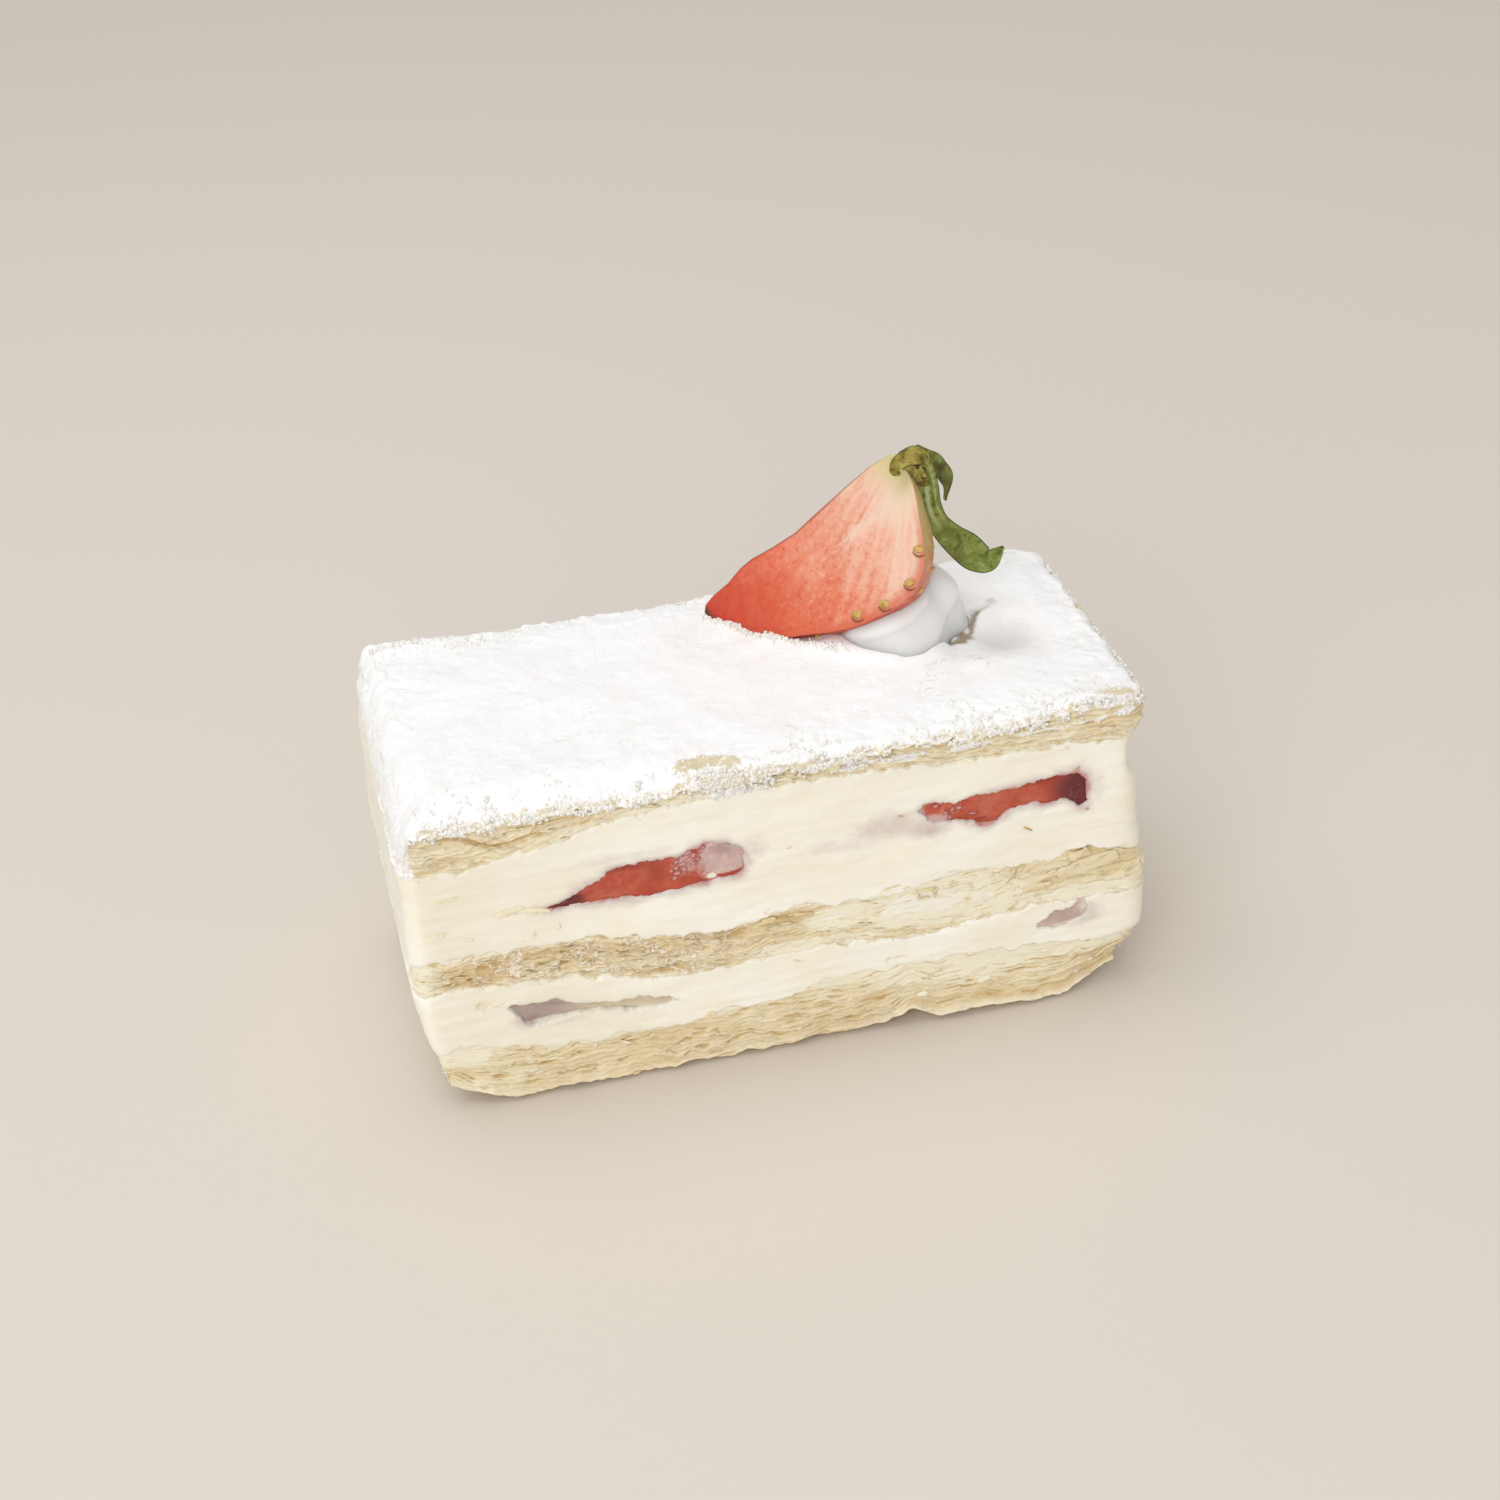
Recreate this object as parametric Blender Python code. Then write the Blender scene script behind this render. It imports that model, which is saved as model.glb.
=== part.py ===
# A slice of strawberry mille feuille: three flaky pastry sheets, two bands of cream with halved
# strawberries in them, and a quarter strawberry leaning on a small swirl of cream on the sugared top.
# Metres, +Z up, +X along the slice, -Y the cut face that is seen. The origin is under the slice's
# middle, on the surface that it stands on.

import math

import bmesh
import bpy
from mathutils import Matrix, Vector, noise

MM = 0.001

# Driving dimensions of the slice
LENGTH = 110 * MM
DEPTH = 51.5 * MM
GAP = 0.35 * MM

# The outline that all layers share, seen from above, before the ends lean in or out
OUTLINE_HALF_LENGTH = 53.6 * MM
OUTLINE_HALF_DEPTH = 25.3 * MM
OUTLINE_RADIUS = 3 * MM

# How far the ends stand out from that outline, at six heights from the base to the crust, in mm
LEFT_REACH = [-4.5, -1.1, 0.9, 1.4, 0.6, -0.8]
RIGHT_REACH = [-3.5, 1.2, 1.2, -0.4, -2.2, 0.6]

# Heights in mm above the base at seven stations along the front cut, left to right
BASE_PASTRY_TOP = [10.7, 8.6, 8.3, 9.4, 10.9, 9.3, 9.2]
MIDDLE_PASTRY_BOTTOM = [21.2, 20.5, 17.6, 17.3, 16.3, 17.5, 17.5]
MIDDLE_PASTRY_TOP = [25.2, 26.5, 23.7, 24.1, 23.7, 24.8, 22.8]
TOP_PASTRY_BOTTOM = [41.2, 42.1, 45.7, 45.9, 45.2, 44.2, 43.7]
TOP_PASTRY_TOP = [49.6, 49.0, 49.2, 50.3, 50.0, 50.1, 50.9]

# Level planes in mm that the same surfaces settle to behind the cut faces
BASE_PASTRY_LEVEL = 9.4
MIDDLE_BOTTOM_LEVEL = 17.8
MIDDLE_TOP_LEVEL = 24.4
TOP_BOTTOM_LEVEL = 44.4
CRUST_LEVEL = 50.6
EDGE_BAND = 6 * MM

# Segments round each layer's outline
LONG_SEGMENTS = 34
SHORT_SEGMENTS = 16
HALF_CORNER_SEGMENTS = 2

# Relief of the sides and of the sugared top. A mound or hollow is x, y, its two half widths and its
# height, in mm.
FLAKE_DEPTH = 0.75 * MM
FLAKE_LIFT = 0.45 * MM
CREAM_SWELL = 0.55 * MM
CRUST_BUMP = 0.55 * MM
CRUST_CRUMBLE = 0.4 * MM
HOLLOW_BY_SWIRL = (41, -4, 7, 6, -1.3)
BANK_AT_CORNER = (47, 11, 6, 8, 0.9)

# The base sheet's rim lifts towards the slice's ends, draws in at its corners and has one notch in front
RIM_LIFT = 2.6 * MM
RIM_LIFT_START = 41 * MM
RIM_LIFT_RUN = 13 * MM
RIM_ROUGHNESS = 0.3 * MM
CORNER_DRAW_IN = 3.4 * MM
NOTCH_X = 18 * MM
NOTCH_HALF_WIDTH = 3 * MM

# The swirl of cream on top
SWIRL_CENTRE = Vector((29.0 * MM, 4.0 * MM, 0))
SWIRL_RADIUS = 10.6 * MM
SWIRL_HEIGHT = 10.5 * MM
SWIRL_FOLDS = 6

# Halved strawberries: x and z of the middle of the flat face, and width, height and reach inwards, in mm.
# tilt in degrees lowers the right end, inset sinks the cut behind the cream, broad is the blunt end.
FRONT_BERRIES = {
    "berry_front_left": dict(at=(-19.3, 31.8), size=(28, 6.2, 14), tilt=0.5),
    "berry_front_right": dict(at=(32.7, 38.9), size=(26, 4.9, 15), tilt=-2, face_up=True),
    "berry_low_left": dict(at=(-28.8, 13.1), size=(25, 3.6, 12), tilt=1, inset=1.2, broad=-1),
    "berry_low_right": dict(at=(43.0, 12.8), size=(11, 3.4, 10), tilt=-3, inset=1.2),
}
BACK_BERRIES = {
    "berry_back_left": dict(at=(25, 31.8), size=(27, 6.2, 14), tilt=1, broad=-1),
    "berry_back_right": dict(at=(-27, 38.4), size=(25, 4.9, 14), broad=-1, face_up=True),
    "berry_back_low": dict(at=(7, 12.6), size=(20, 3.2, 12), inset=1.2),
}

# The quarter strawberry: its ridge runs from the tip on the sugar up to the leaves
BERRY_TIP = Vector((-0.3 * MM, 18.0 * MM, 50.9 * MM))
BERRY_CROWN = Vector((27.8 * MM, 10.0 * MM, 76.3 * MM))
BERRY_FACE_DOWN = Vector((0.21, -0.84, -0.50))
BERRY_SECTOR = math.radians(62)
BERRY_RADII = [0.9, 6.6, 11.6, 14.9, 17.6, 19.2, 19.6, 18.3, 14.2, 6.4]
BERRY_STEPS = 16
BERRY_ARC = 7
RIDGE_BULGE = 1.5 * MM

# The leaves: points along each one's middle and its widths there in mm, and the way that its top faces
LEAF_THICKNESS = 0.55 * MM
LEAF_WAVE = 0.35 * MM
LEAF_CURL = 0.5 * MM
CAP_HALF_SIZES = (2.0 * MM, 3.4 * MM, 3.0 * MM)
LEAVES = {
    "leaf_long": dict(
        path=[(30.6, 8.6, 74.6), (32.5, 8.0, 69.6), (34.8, 7.6, 65.0), (37.8, 7.4, 60.8),
              (41.0, 7.6, 57.9), (44.0, 8.0, 59.2)],
        widths=[2.4, 3.6, 4.4, 5.2, 4.4, 0.8],
        faces=(-0.3, -1, 0.45),
    ),
    "leaf_short": dict(
        path=[(31.2, 11.5, 76.0), (33.4, 12.2, 73.9), (35.8, 12.8, 71.0), (37.0, 13.0, 67.4)],
        widths=[2.2, 3.2, 3.6, 0.8],
        faces=(0.4, -1, 0.4),
    ),
}

PASTRY = ("pastry", (0.86, 0.74, 0.50), 0.75)
CRUST = ("sugared crust", (0.97, 0.96, 0.94), 0.9)
CREAM = ("cream", (0.95, 0.91, 0.78), 0.45)
SWIRL_CREAM = ("whipped cream", (0.96, 0.95, 0.93), 0.5)
BERRY_FLESH = ("strawberry flesh", (0.80, 0.16, 0.10), 0.35)
LEAF_GREEN = ("strawberry leaf", (0.22, 0.33, 0.08), 0.6)


def clear_scene():
    for old in list(bpy.data.objects):
        bpy.data.objects.remove(old, do_unlink=True)


def material_of(finish):
    name, colour, roughness = finish
    material = bpy.data.materials.get(name)
    if material is None:
        material = bpy.data.materials.new(name)
        material.use_nodes = True
        shader = material.node_tree.nodes["Principled BSDF"]
        shader.inputs["Base Color"].default_value = (*colour, 1)
        shader.inputs["Roughness"].default_value = roughness
        shader.inputs["Metallic"].default_value = 0
    return material


def object_of(name, points, faces, finish, smooth=False):
    mesh = bpy.data.meshes.new(name)
    mesh.from_pydata([tuple(p) for p in points], [], faces)
    mesh.materials.append(material_of(finish))
    made = bpy.data.objects.new(name, mesh)
    bpy.context.scene.collection.objects.link(made)
    if smooth:
        mesh.shade_smooth()
    return made


def as_cutter(cutter):
    cutter.hide_render = True
    cutter.display_type = "WIRE"
    return cutter


def cut(solid, cutter):
    modifier = solid.modifiers.new("cut by " + cutter.name, "BOOLEAN")
    modifier.operation = "DIFFERENCE"
    modifier.solver = "EXACT"
    modifier.object = cutter


def smooth_step(share):
    share = min(1.0, max(0.0, share))
    return share * share * (3 - 2 * share)


def between_stations(values, share):
    """A smooth curve through evenly spaced values, read at a share of its length from 0 to 1."""
    place = min(1.0, max(0.0, share)) * (len(values) - 1)
    index = min(int(place), len(values) - 2)
    before = values[max(index - 1, 0)]
    low, high = values[index], values[index + 1]
    after = values[min(index + 2, len(values) - 1)]
    t = place - index
    start, end = (high - before) / 2, (after - low) / 2
    return (
        low * (1 + 2 * t) * (1 - t) ** 2
        + start * t * (1 - t) ** 2
        + high * t * t * (3 - 2 * t)
        + end * t * t * (t - 1)
    )


def wander(x, y, size, seed):
    """Smooth noise between about -1 and 1 whose lumps are size across."""
    return noise.noise(Vector((x / size, y / size, seed)))


def edge_share(x, y):
    """1 on the slice's sides, falling to 0 at EDGE_BAND behind them."""
    inside = min(OUTLINE_HALF_LENGTH - abs(x), OUTLINE_HALF_DEPTH - abs(y))
    return 1 - smooth_step(inside / EDGE_BAND)


def layer_surface(stations, seed):
    """Height of the surface between two layers at the slice's sides: as measured along the front cut,
    and the same heights turned end for end along the back cut."""

    def height(x, y):
        share = x / LENGTH + 0.5
        front = between_stations(stations, share)
        back = between_stations(stations, 1 - share) + 0.5 * wander(x, y, 9 * MM, seed)
        across = smooth_step(y / DEPTH + 0.5)
        return (front * (1 - across) + back * across) * MM

    return height


def mound(x, y, shape):
    at_x, at_y, half_x, half_y, height = (value * MM for value in shape)
    return height * math.exp(-(((x - at_x) / half_x) ** 2 + ((y - at_y) / half_y) ** 2))


def crust_surface(x, y):
    """Height of the sugared top: lumpy, with a sunken place beside the swirl and a level one under it."""
    edge = between_stations(TOP_PASTRY_TOP, x / LENGTH + 0.5) * MM
    weight = edge_share(x, y)
    lumps = wander(x, y, 9 * MM, 5.1) + 0.6 * wander(x, y, 4 * MM, 8.3)
    height = edge * weight + CRUST_LEVEL * MM * (1 - weight)
    height += CRUST_BUMP * lumps + mound(x, y, HOLLOW_BY_SWIRL) + mound(x, y, BANK_AT_CORNER)
    beyond_swirl = (Vector((x, y, 0)) - SWIRL_CENTRE).length - 1.08 * SWIRL_RADIUS
    level = smooth_step(beyond_swirl / (3 * MM))
    return height * level + CRUST_LEVEL * MM * (1 - level)


def rounded_outline():
    """(point, outward normal) pairs of the slice's outline seen from above, anticlockwise from the
    middle of its front left corner."""
    quarter = math.pi / 2
    across = OUTLINE_HALF_LENGTH - OUTLINE_RADIUS
    deep = OUTLINE_HALF_DEPTH - OUTLINE_RADIUS
    signs = [(-1, -1), (1, -1), (1, 1), (-1, 1)]
    centres = [Vector((along * across, sideways * deep)) for along, sideways in signs]
    outline = []

    def add(centre, angle):
        normal = Vector((math.cos(angle), math.sin(angle)))
        outline.append((centre + OUTLINE_RADIUS * normal, normal))

    for side, centre in enumerate(centres):
        following = centres[(side + 1) % 4]
        segments = LONG_SEGMENTS if side % 2 == 0 else SHORT_SEGMENTS
        facing = quarter * (side + 3)
        for step in range(HALF_CORNER_SEGMENTS):
            add(centre, facing - quarter * (HALF_CORNER_SEGMENTS - step) / (2 * HALF_CORNER_SEGMENTS))
        for step in range(segments + 1):
            add(centre.lerp(following, step / segments), facing)
        for step in range(1, HALF_CORNER_SEGMENTS):
            add(following, facing + quarter * step / (2 * HALF_CORNER_SEGMENTS))
    return outline


OUTLINE = rounded_outline()
COUNT = len(OUTLINE)


def end_reach(normal, height):
    """How far the slice's ends stand out at a height, on the parts of the outline that face them."""
    share = height / (CRUST_LEVEL * MM)
    left = between_stations(LEFT_REACH, share) * max(0.0, -normal.x) ** 2
    right = between_stations(RIGHT_REACH, share) * max(0.0, normal.x) ** 2
    return (left + right) * MM


def band(first, second):
    """Quads between two rings that start at these vertex numbers, the second above the first."""
    return [
        (first + i, first + (i + 1) % COUNT, second + (i + 1) % COUNT, second + i) for i in range(COUNT)
    ]


def sloping_band(rim, inset, faces_up):
    """Triangles between a rim and the level ring inside it, divided alike on both layers that meet."""
    made = []
    for i in range(COUNT):
        j = (i + 1) % COUNT
        made += [(rim + i, rim + j, inset + j), (rim + i, inset + j, inset + i)]
    return made if faces_up else [tuple(reversed(face)) for face in made]


def closed_bands(around, rings):
    """Quads between each two of a stack of rings, from the first vertex on."""
    return [
        (ring * around + i, ring * around + (i + 1) % around,
         (ring + 1) * around + (i + 1) % around, (ring + 1) * around + i)
        for ring in range(rings - 1) for i in range(around)
    ]


def side_rings(low, high, low_level, high_level, bands, relief):
    """Rings of points up a layer's side. Its lowest and highest rings follow the shared outline, and
    relief pushes the others in, out, up or down."""
    rings = []
    for level in range(bands + 1):
        share = level / bands
        ring = []
        for index, (point, normal) in enumerate(OUTLINE):
            reach = end_reach(normal, (low_level + (high_level - low_level) * share) * MM)
            out, lift = relief(point, index, level, share)
            place = point + normal * (reach + out)
            bottom, top = low(point.x, point.y), high(point.x, point.y)
            ring.append(Vector((place.x, place.y, bottom + (top - bottom) * share + lift)))
        rings.append(ring)
    return rings


def inset_ring(height):
    """The outline drawn in towards the slice's middle by EDGE_BAND, at one height."""
    along, across = 1 - 2 * EDGE_BAND / LENGTH, 1 - 2 * EDGE_BAND / DEPTH
    return [Vector((point.x * along, point.y * across, height)) for point, normal in OUTLINE]


def slab(name, rings, level_below, level_above, finish):
    """A layer closed below and above by a sloping band round a level face."""
    points = inset_ring(level_below) + [p for ring in rings for p in ring] + inset_ring(level_above)
    last = (len(rings) + 1) * COUNT
    faces = [tuple(reversed(range(COUNT))), tuple(range(last, last + COUNT))]
    faces += sloping_band(COUNT, 0, False)
    for ring in range(1, len(rings)):
        faces += band(ring * COUNT, (ring + 1) * COUNT)
    faces += sloping_band(last - COUNT, last, True)
    return object_of(name, points, faces, finish)


def raised(surface, lift):
    return lambda x, y: surface(x, y) + lift


def flaky(seed, bands):
    """Relief of baked leaves: thin ledges and grooves that rise, sink and run into each other."""

    def relief(point, index, level, share):
        if level in (0, bands):
            return 0, 0
        along = index * 2.6 * MM
        ledge = 0.55 if level % 2 else -0.6
        broken = 0.6 * wander(along, level * 40 * MM, 5 * MM, seed)
        lift = wander(along, level * 40 * MM, 11 * MM, seed + 3)
        return FLAKE_DEPTH * (ledge + broken), FLAKE_LIFT * lift

    return relief


def creamy(seed):
    """Relief of spread cream: broad soft swells."""

    def relief(point, index, level, share):
        swell = wander(point.x + point.y, point.y - point.x + share * 20 * MM, 13 * MM, seed)
        return CREAM_SWELL * math.sin(math.pi * share) * (swell + 0.6), 0

    return relief


def make_base_pastry():
    """The lowest sheet. Its rim lifts off the surface at the corners and at one notch in front."""
    bands = 6
    top = layer_surface(BASE_PASTRY_TOP, 1.5)
    flakes = flaky(11.0, bands)

    def rim(x, y):
        corner = smooth_step((abs(x) - RIM_LIFT_START) / RIM_LIFT_RUN)
        notch = math.exp(-(((x - NOTCH_X) / NOTCH_HALF_WIDTH) ** 2)) if y < 0 else 0
        return RIM_LIFT * (corner + notch) + RIM_ROUGHNESS * (1 + wander(x, y, 7 * MM, 2.2))

    def relief(point, index, level, share):
        out, lift = flakes(point, index, level, share)
        corner = smooth_step((abs(point.x) + abs(point.y)) / (8 * MM) - 8.5)
        return out - CORNER_DRAW_IN * corner * (1 - share) ** 1.5, lift

    rings = side_rings(rim, raised(top, -GAP / 2), 0, BASE_PASTRY_LEVEL, bands, relief)
    return slab("base_pastry", rings, 0, BASE_PASTRY_LEVEL * MM - GAP / 2, PASTRY)


def make_layer(name, below, above, bands, relief, finish):
    """A layer between two surfaces, each given as its side heights and its level."""
    (low, low_level), (high, high_level) = below, above
    rings = side_rings(raised(low, GAP / 2), raised(high, -GAP / 2), low_level, high_level, bands, relief)
    return slab(name, rings, low_level * MM + GAP / 2, high_level * MM - GAP / 2, finish)


def grid_of(boundary, columns, rows):
    """Inner points of a grid stretched between the four sides of a closed boundary."""
    front = boundary[: columns + 1]
    right = boundary[columns : columns + rows + 1]
    back = list(reversed(boundary[columns + rows : 2 * columns + rows + 1]))
    left = list(reversed(boundary[2 * columns + rows :] + boundary[:1]))
    inner = []
    for row in range(1, rows):
        v = row / rows
        for column in range(1, columns):
            u = column / columns
            straight = front[column] * (1 - v) + back[column] * v + left[row] * (1 - u) + right[row] * u
            corners = (
                front[0] * (1 - u) * (1 - v) + front[-1] * u * (1 - v)
                + back[0] * (1 - u) * v + back[-1] * u * v
            )
            inner.append(straight - corners)
    return inner


def make_top_pastry():
    """The top sheet with its crust of sugar: a lumpy top with a crumbled, rounded rim."""
    bands = 5
    low = layer_surface(TOP_PASTRY_BOTTOM, 4.5)
    leaves = flaky(51.0, bands)

    def relief(point, index, level, share):
        rough = 1 + wander(point.x, point.y, 4 * MM, 6.6)
        crumbled = CRUST_CRUMBLE * rough if level == bands else 0
        out, lift = leaves(point, index, level, share)
        return out - crumbled, lift - crumbled * 0.8

    rings = side_rings(raised(low, GAP / 2), crust_surface, TOP_BOTTOM_LEVEL, CRUST_LEVEL, bands, relief)
    columns = LONG_SEGMENTS + 2 * HALF_CORNER_SEGMENTS
    rows = SHORT_SEGMENTS + 2 * HALF_CORNER_SEGMENTS
    inner = [
        Vector((p.x, p.y, crust_surface(p.x, p.y)))
        for p in grid_of([Vector((p.x, p.y)) for p in rings[-1]], columns, rows)
    ]
    points = inset_ring(TOP_BOTTOM_LEVEL * MM + GAP / 2) + [p for ring in rings for p in ring] + inner
    faces = [tuple(reversed(range(COUNT)))] + sloping_band(COUNT, 0, False)
    for ring in range(1, len(rings)):
        faces += band(ring * COUNT, (ring + 1) * COUNT)
    rim_start, inner_start = len(rings) * COUNT, (len(rings) + 1) * COUNT

    def vertex(column, row):
        if row == 0:
            return rim_start + column
        if column == columns:
            return rim_start + columns + row
        if row == rows:
            return rim_start + columns + rows + (columns - column)
        if column == 0:
            return rim_start + (2 * columns + rows + (rows - row)) % COUNT
        return inner_start + (row - 1) * (columns - 1) + column - 1

    for row in range(rows):
        for column in range(columns):
            faces.append((
                vertex(column, row), vertex(column + 1, row),
                vertex(column + 1, row + 1), vertex(column, row + 1),
            ))
    return object_of("top_pastry", points, faces, CRUST)


def half_berry_mesh(width, height, reach, grow, broad, opening):
    """A halved strawberry lying on its flat face, its middle on the slice's side. broad is 1 or -1,
    for the end along X with the blunt shoulder. opening is a plane that cuts its outer part away, or
    None to keep it, as a cutter needs."""
    shape = bmesh.new()
    bmesh.ops.create_uvsphere(
        shape, u_segments=10, v_segments=14, radius=1, matrix=Matrix.Rotation(math.pi / 2, 4, "Y")
    )
    for vertex in shape.verts:
        along = vertex.co.x * broad
        swell = (1 + 0.2 * along) * math.sqrt(1 + max(0.0, along) ** 2) / 1.15
        vertex.co.x *= width / 2 + grow
        vertex.co.y *= (reach + grow) * swell
        vertex.co.z *= (height + grow) * swell
        vertex.co.z += 0.3 * MM * wander(vertex.co.x, vertex.co.y, 5 * MM, width / MM)
    planes = [(Vector((0, 0, -grow)), Vector((0, 0, -1)))]
    if opening is not None:
        planes.append(opening)
    for point, normal in planes:
        geometry = shape.verts[:] + shape.edges[:] + shape.faces[:]
        made = bmesh.ops.bisect_plane(
            shape, geom=geometry, plane_co=point, plane_no=normal, clear_outer=True, dist=0.01 * MM
        )
        rim = [e for e in made["geom_cut"] if isinstance(e, bmesh.types.BMEdge)]
        bmesh.ops.contextual_create(shape, geom=rim)
    bmesh.ops.recalc_face_normals(shape, faces=shape.faces[:])
    mesh = bpy.data.meshes.new("half berry")
    shape.to_mesh(mesh)
    shape.free()
    return mesh


def make_half_berry(name, cream, side, at, size, inset=0.5, tilt=0, broad=1, face_up=False):
    """A halved strawberry in its pocket in the cream. side is -1 at the front cut and 1 at the back."""
    x, z = (value * MM for value in at)
    width, height, reach = (value * MM for value in size)
    place = Matrix.Translation((x, side * DEPTH / 2, z)) @ Matrix.Rotation(math.radians(tilt), 4, "Y")
    if face_up:
        place = place @ Matrix.Rotation(math.pi, 4, "X")
    outward = Vector((0, -side if face_up else side, 0))
    opening = (-outward * inset * MM, outward)
    berry_mesh = half_berry_mesh(width, height, reach, 0, broad, opening)
    berry_mesh.materials.append(material_of(BERRY_FLESH))
    berry = bpy.data.objects.new(name, berry_mesh)
    pocket = bpy.data.objects.new(
        name + "_pocket", half_berry_mesh(width, height, reach, GAP, broad, None)
    )
    for made in (berry, pocket):
        made.matrix_world = place
        bpy.context.scene.collection.objects.link(made)
    cut(cream, as_cutter(pocket))
    return berry


def berry_frame():
    """Ridge direction, and the direction down the seen cut face at right angles to it."""
    ridge = (BERRY_CROWN - BERRY_TIP).normalized()
    down = (BERRY_FACE_DOWN - ridge * BERRY_FACE_DOWN.dot(ridge)).normalized()
    return ridge, down


def quarter_berry(name, grow):
    """A strawberry cut lengthways in four: sections along the ridge, each a sector of a round."""
    ridge, down = berry_frame()
    inward = ridge.cross(down)
    length = (BERRY_CROWN - BERRY_TIP).length
    middle = BERRY_SECTOR / 2
    points = []
    for step in range(BERRY_STEPS + 1):
        share = step / BERRY_STEPS
        share = 0.5 - 0.5 * math.cos(math.pi * share) if 0 < step < BERRY_STEPS else share
        radius = between_stations(BERRY_RADII, share) * MM
        bulge = RIDGE_BULGE * math.sin(math.pi * min(1, share * 2.2))
        centre = BERRY_TIP + ridge * (length * share + grow * (2 * share - 1))
        back_off = down * math.cos(middle) + inward * math.sin(middle)
        section = [centre - back_off * (bulge + grow * 1.6)]
        for side in range(BERRY_ARC + 1):
            angle = BERRY_SECTOR * side / BERRY_ARC
            spoke = down * math.cos(angle) + inward * math.sin(angle)
            out = -inward * grow if side == 0 else Vector((0, 0, 0))
            if side == BERRY_ARC:
                out = (down * math.sin(angle) * -1 + inward * math.cos(angle)) * grow
            section.append(centre + spoke * (radius + grow) + out)
        points += section
    count = BERRY_ARC + 2
    last = BERRY_STEPS * count
    faces = closed_bands(count, BERRY_STEPS + 1)
    faces += [tuple(reversed(range(count))), tuple(range(last, last + count))]
    made = object_of(name, points, faces, BERRY_FLESH)
    fix_normals(made)
    return made


def fix_normals(made):
    shape = bmesh.new()
    shape.from_mesh(made.data)
    bmesh.ops.recalc_face_normals(shape, faces=shape.faces[:])
    shape.to_mesh(made.data)
    shape.free()


def make_swirl(berry_cutter):
    """A low swirl of whipped cream: a dome with soft folds that turn as they rise."""
    around, rise = 30, 9
    base = CRUST_LEVEL * MM + GAP
    points = []
    for level in range(rise):
        share = level / rise
        radius = SWIRL_RADIUS * (1 - share ** 2.4) ** 0.5 * (1 - 0.05 * math.cos(math.pi * share * 2))
        for step in range(around):
            angle = 2 * math.pi * step / around
            fold = 1 + 0.06 * math.cos(SWIRL_FOLDS * (angle - 1.3 * share))
            points.append(Vector((
                SWIRL_CENTRE.x + radius * fold * math.cos(angle),
                SWIRL_CENTRE.y + radius * fold * math.sin(angle),
                base + SWIRL_HEIGHT * share,
            )))
    points.append(Vector((SWIRL_CENTRE.x, SWIRL_CENTRE.y, base + SWIRL_HEIGHT)))
    faces = [tuple(reversed(range(around)))]
    faces += closed_bands(around, rise)
    top, last = len(points) - 1, (rise - 1) * around
    faces += [(last + i, last + (i + 1) % around, top) for i in range(around)]
    swirl = object_of("cream_swirl", points, faces, SWIRL_CREAM)
    cut(swirl, berry_cutter)
    return swirl


def ribbon_leaf(name, path, widths, faces, cutters):
    """A thin wavy leaf along a path in mm. Both faces are split into triangles alike."""
    steps, across = 12, 3
    points, quads = [], []
    for step in range(steps + 1):
        share = step / steps
        centre = Vector([between_stations([p[axis] for p in path], share) * MM for axis in range(3)])
        ahead = Vector([between_stations([p[axis] for p in path], share + 0.02) for axis in range(3)])
        behind = Vector([between_stations([p[axis] for p in path], share - 0.02) for axis in range(3)])
        along = (ahead - behind).normalized()
        sideways = along.cross(Vector(faces)).normalized()
        up = sideways.cross(along).normalized()
        width = between_stations(widths, share) * MM
        wave = LEAF_WAVE * math.sin(share * 11)
        for face in (0, 1):
            for place in range(across + 1):
                offset = 2 * place / across - 1
                lift = LEAF_CURL * offset * offset + wave * offset + face * LEAF_THICKNESS
                points.append(centre + sideways * (offset * width / 2) + up * lift)

    def corner(step, face, place):
        return (step * 2 + face) * (across + 1) + place

    for step in range(steps):
        for place in range(across):
            for face in (0, 1):
                a, b = corner(step, face, place), corner(step, face, place + 1)
                c, d = corner(step + 1, face, place + 1), corner(step + 1, face, place)
                quads += [(a, b, c), (a, c, d)]
        for place in (0, across):
            quads.append((
                corner(step, 0, place), corner(step, 1, place),
                corner(step + 1, 1, place), corner(step + 1, 0, place),
            ))
    for step in (0, steps):
        for place in range(across):
            quads.append((
                corner(step, 0, place), corner(step, 0, place + 1),
                corner(step, 1, place + 1), corner(step, 1, place),
            ))
    leaf = object_of(name, points, quads, LEAF_GREEN)
    fix_normals(leaf)
    for cutter in cutters:
        cut(leaf, cutter)
    return leaf


def make_leaf_cap(name, grow):
    """The green cap where the leaves meet, seated on the strawberry's broad end."""
    ridge, down = berry_frame()
    inward = ridge.cross(down)
    shape = bmesh.new()
    bmesh.ops.create_icosphere(shape, subdivisions=2, radius=1)
    along, deep, wide = (half + grow for half in CAP_HALF_SIZES)
    axes = Matrix((ridge * along, down * deep, inward * wide)).transposed()
    centre = BERRY_CROWN + ridge * 0.6 * MM + down * 2.2 * MM + inward * 1.6 * MM
    bmesh.ops.transform(shape, matrix=Matrix.Translation(centre) @ axes.to_4x4(), verts=shape.verts[:])
    bmesh.ops.recalc_face_normals(shape, faces=shape.faces[:])
    mesh = bpy.data.meshes.new(name)
    shape.to_mesh(mesh)
    shape.free()
    mesh.materials.append(material_of(LEAF_GREEN))
    cap = bpy.data.objects.new(name, mesh)
    bpy.context.scene.collection.objects.link(cap)
    return cap


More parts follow.
